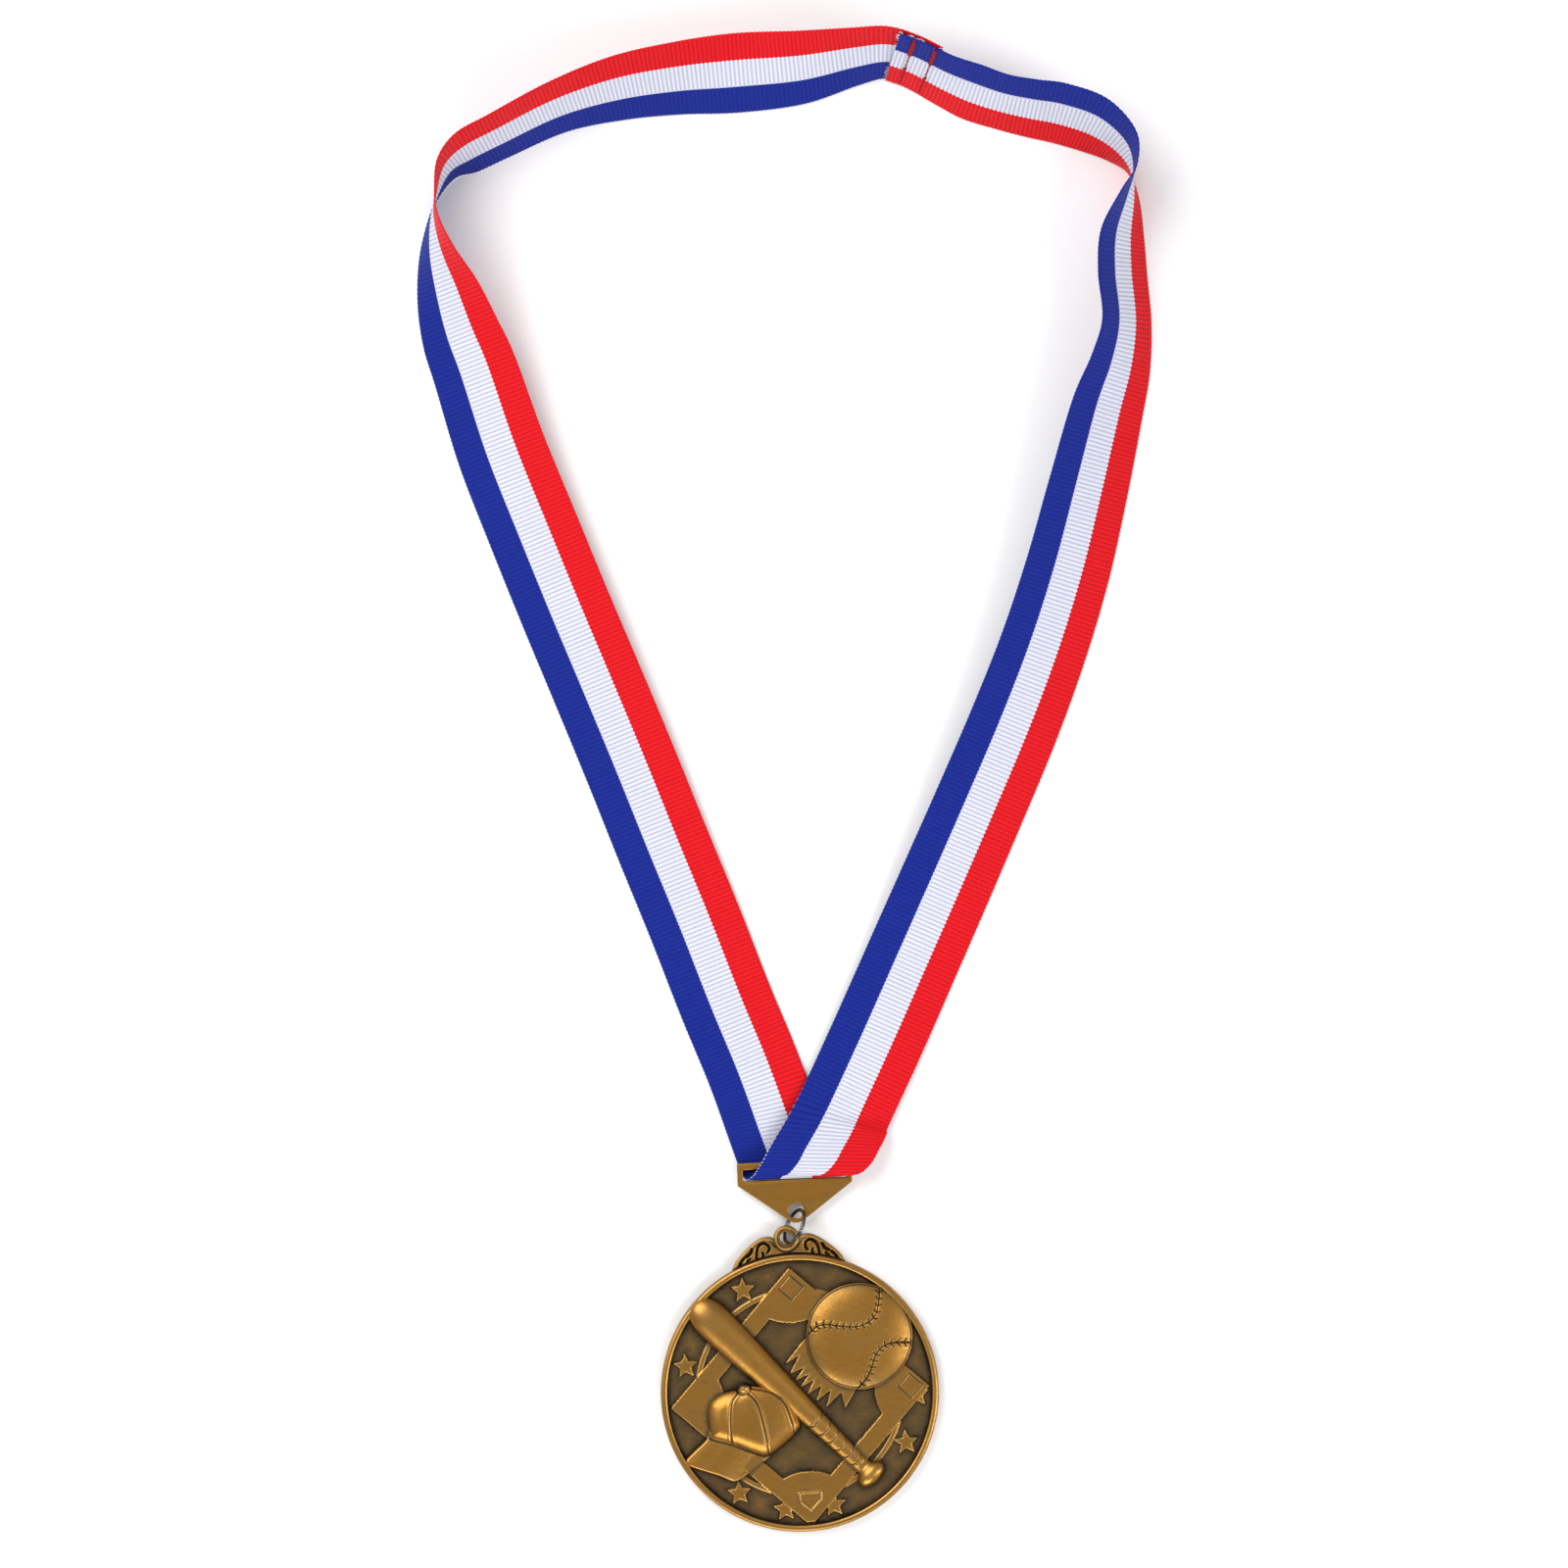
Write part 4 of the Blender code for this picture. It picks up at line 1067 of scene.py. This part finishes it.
def make_ribbon():
    blue, red, run = ribbon_route()
    normal = strip_normals(blue, red)
    width = np.linalg.norm(red - blue, axis=1)
    beat = 0.5 + 0.5 * np.cos(2 * math.pi * run / RIB_PITCH)
    across = np.array([0.004, 0.02, 0.06, 0.17, 0.333, 0.5, 0.667, 0.83, 0.94, 0.98, 0.996])
    scallop = 0.16 * (beat - 0.6)
    thick = RIBBON_THICK / 2 - 0.05 + 0.10 * (beat - 0.5)
    outward = (red - blue) / width[:, None]
    columns = []
    for side in (1, -1):
        order = across if side == 1 else across[::-1]
        for a in order:
            edge = 1 - np.clip(min(a, 1 - a) / 0.02, 0, 1)
            rise = thick * (1 - 0.45 * edge)
            point = blue + (red - blue) * a + normal * (side * rise)[:, None]
            point = point + outward * (scallop * (edge if a > 0.5 else -edge))[:, None]
            columns.append((point, a))
        tip = 1.0 if side == 1 else 0.0
        point = blue + (red - blue) * tip
        point = point + outward * ((scallop + 0.02) * (1 if side == 1 else -1))[:, None]
        columns.append((point, tip))
    rows, wide = len(run), len(columns)
    points = np.stack([c[0] for c in columns], 1).reshape(-1, 3)
    turn = run[np.argmin((blue + red)[:, 1])]
    marks_selvage = np.repeat(dent((run - turn - 9.0) / 9.0, 1.0), wide)
    marks_across = np.tile([c[1] for c in columns], rows)
    marks_along = np.repeat(run, wide)
    faces = grid_quads(rows, wide, False, True)[:, [1, 2, 3, 0]].tolist()
    faces.append(range(wide))
    faces.append(range(len(points) - 1, len(points) - wide - 1, -1))
    piece = make_piece("ribbon_strip", points, faces, CLOTH, "ribbon", "neck_ribbon",
                       {"across": marks_across, "along": marks_along,
                                        "selvage": marks_selvage}, 0.0, 0)
    return piece, (blue, red, normal, run)


def make_stitches(strip):
    """Two rows of thread across the lap, heavy over the blue stripe and thin beyond it."""
    blue, red, normal, run = strip
    middle = (blue + red) / 2
    made = []
    for number, at in enumerate(STITCH_ROWS_AT, 1):
        lap = np.flatnonzero(run > run[-1] - 22)
        i = lap[np.argmin(np.abs(middle[lap, 0] - at))]
        up = normal[i] if normal[i][2] > 0 else -normal[i]
        ahead = np.cross(red[i] - blue[i], up)
        ahead /= np.linalg.norm(ahead)

        def place(a, off, lift):
            return blue[i] + (red[i] - blue[i]) * a + ahead * off + up * lift

        first = number == 1
        heavy = []
        for k in range(STITCH_TURNS + 1):
            swing = (0.50 - 0.22 * abs(k / STITCH_TURNS - 0.45)) * (1 if k % 2 else -1)
            off = swing * (1.1 if first else 0.85)
            heavy.append(place(0.035 + 0.30 * k / STITCH_TURNS, off, 0.42 + 0.10 * (k % 2)))
        parts = [tube(spline(heavy, 3), 0.15)]
        for k in range(7):
            start, end = 0.34 + 0.088 * k, 0.34 + 0.088 * (k + 0.82)
            slant = 0.10 * math.sin(2.1 * k + number)
            path = [place(start + (end - start) * t, slant * (2 * t - 1),
                          0.22 + 0.24 * math.sin(math.pi * t)) for t in np.linspace(0, 1, 8)]
            parts.append(tube(path, 0.15))
        knot = [place(0.62 + 0.022 * math.sin(5.1 * t), 0.34 * math.cos(4.0 * t),
                      0.42 + 0.10 * math.sin(3 * t)) for t in np.linspace(0, 2.6 if first else 1.0, 22)]
        parts.append(tube(knot, 0.16))
        drift = -0.6 if first else 1
        tail = [place(0.045 - 0.075 * t, 0.35 * math.sin(3.2 * t) + 0.5 * t * drift,
                      0.45 + 0.25 * math.sin(3 * t)) for t in np.linspace(0, 1, 10)]
        parts.append(tube(tail, 0.13))
        points, faces = joined(parts)
        made.append(make_piece(f"lap_stitches_{number}", points, faces, THREAD, "ribbon",
                               f"stitch_row_{number}", None, 0.0, 0))
    return made


def make_fray(strip):
    """Loose fibres at the ribbon's two cut ends."""
    blue, red, normal, run = strip
    middle = (blue + red) / 2
    rng = np.random.default_rng(7)
    parts = []
    for end in (0, -1):
        inner = 1 if end == 0 else -2
        ahead = middle[end] - middle[inner]
        ahead /= np.linalg.norm(ahead)
        for _ in range(FIBRES_AT_END):
            a = rng.uniform(0.01, 0.99)
            length, bend = rng.uniform(0.3, 1.1), rng.uniform(-0.5, 0.5)
            start = blue[end] + (red[end] - blue[end]) * a + normal[end] * rng.uniform(-0.15, 0.15)
            side = (red[end] - blue[end]) / RIBBON_WIDTH
            path = [start + ahead * (length * t - 0.15) + side * bend * t * t
                    + normal[end] * 0.2 * bend * t for t in np.linspace(0, 1, 5)]
            parts.append(tube(path, 0.045, 5))
    # A few white threads stand out of the upper edge along the lap.
    upper = blue if blue[-1][2] > red[-1][2] else red
    lap = np.flatnonzero(run > run[-1] - 20)
    for _ in range(FIBRES_AT_LAP):
        i = rng.choice(lap)
        heading = middle[min(i + 1, len(run) - 1)] - middle[i - 1]
        heading /= np.linalg.norm(heading)
        size = rng.uniform(0.5, 1.3)
        out = (upper[i] - middle[i]) / (RIBBON_WIDTH / 2)
        path = [upper[i] + heading * size * (t - 0.5) + out * 0.7 * size * math.sin(math.pi * t)
                for t in np.linspace(0, 1, 8)]
        parts.append(tube(path, 0.05, 5))
    points, faces = joined(parts)
    return make_piece("lap_fibres", points, faces, FIBRE, "ribbon", None, None, 0.0, 0)


# ---------------------------------------------------------------- floor, light and camera


def make_floor():
    mesh = bpy.data.meshes.new("floor")
    half = 3.0
    mesh.from_pydata([(-half, -half, 0), (half, -half, 0), (half, half, 0), (-half, half, 0)], [],
                     [(0, 1, 2, 3)])
    n = Nodes("pale_floor")
    tone = n.ramp(n.noise(6, 2), [(0.3, (0.86, 0.86, 0.865)), (0.7, (0.88, 0.88, 0.885))])
    n.finish(tone, 0.9, None, Specular_IOR_Level=0.1)
    mesh.materials.append(n.material)
    floor = bpy.data.objects.new("floor", mesh)
    floor.location.z = -0.0001
    bpy.context.scene.collection.objects.link(floor)


def add_light(name, place, aim, size, power, colour=(1, 1, 1)):
    light = bpy.data.lights.new(name, "AREA")
    light.shape = "RECTANGLE"
    light.size, light.size_y = size
    light.energy = power
    light.color = colour
    lamp = bpy.data.objects.new(name, light)
    lamp.location = place
    lamp.rotation_euler = (Vector(aim) - Vector(place)).to_track_quat("-Z", "Y").to_euler()
    bpy.context.scene.collection.objects.link(lamp)


def light_and_camera():
    scene = bpy.context.scene
    world = bpy.data.worlds.new("studio")
    world.use_nodes = True
    world.node_tree.nodes["Background"].inputs["Color"].default_value = (1.0, 1.0, 1.0, 1)
    world.node_tree.nodes["Background"].inputs["Strength"].default_value = 0.50
    scene.world = world
    add_light("key", (-0.55, 0.55, 0.75), (0, 0.1, 0), (0.8, 0.8), 9.0, (1, 0.99, 0.97))
    add_light("fill", (0.75, -0.15, 0.6), (0, 0.1, 0), (0.4, 0.8), 5.0, (0.97, 0.98, 1))
    add_light("front", (-0.1, -0.7, 0.5), (0, 0.05, 0), (0.7, 0.3), 4.0)
    scene.view_settings.view_transform = "Standard"
    camera = bpy.data.cameras.new("camera")
    away, seen = 1.6, 0.3669
    camera.lens = camera.sensor_width * away / seen
    camera.clip_end = 20
    eye = bpy.data.objects.new("camera", camera)
    eye.location = (-0.0037, 0.1422, away)
    scene.collection.objects.link(eye)
    scene.camera = eye


# ---------------------------------------------------------------- all of it

make_disc()
make_ball()
make_bat()
make_cap()
make_crest()
make_eyelet()
make_hanger()
make_jump_ring()
strip_piece, strip_rows = make_ribbon()
rows_of_thread = make_stitches(strip_rows)
fibres = make_fray(strip_rows)
make_floor()
light_and_camera()
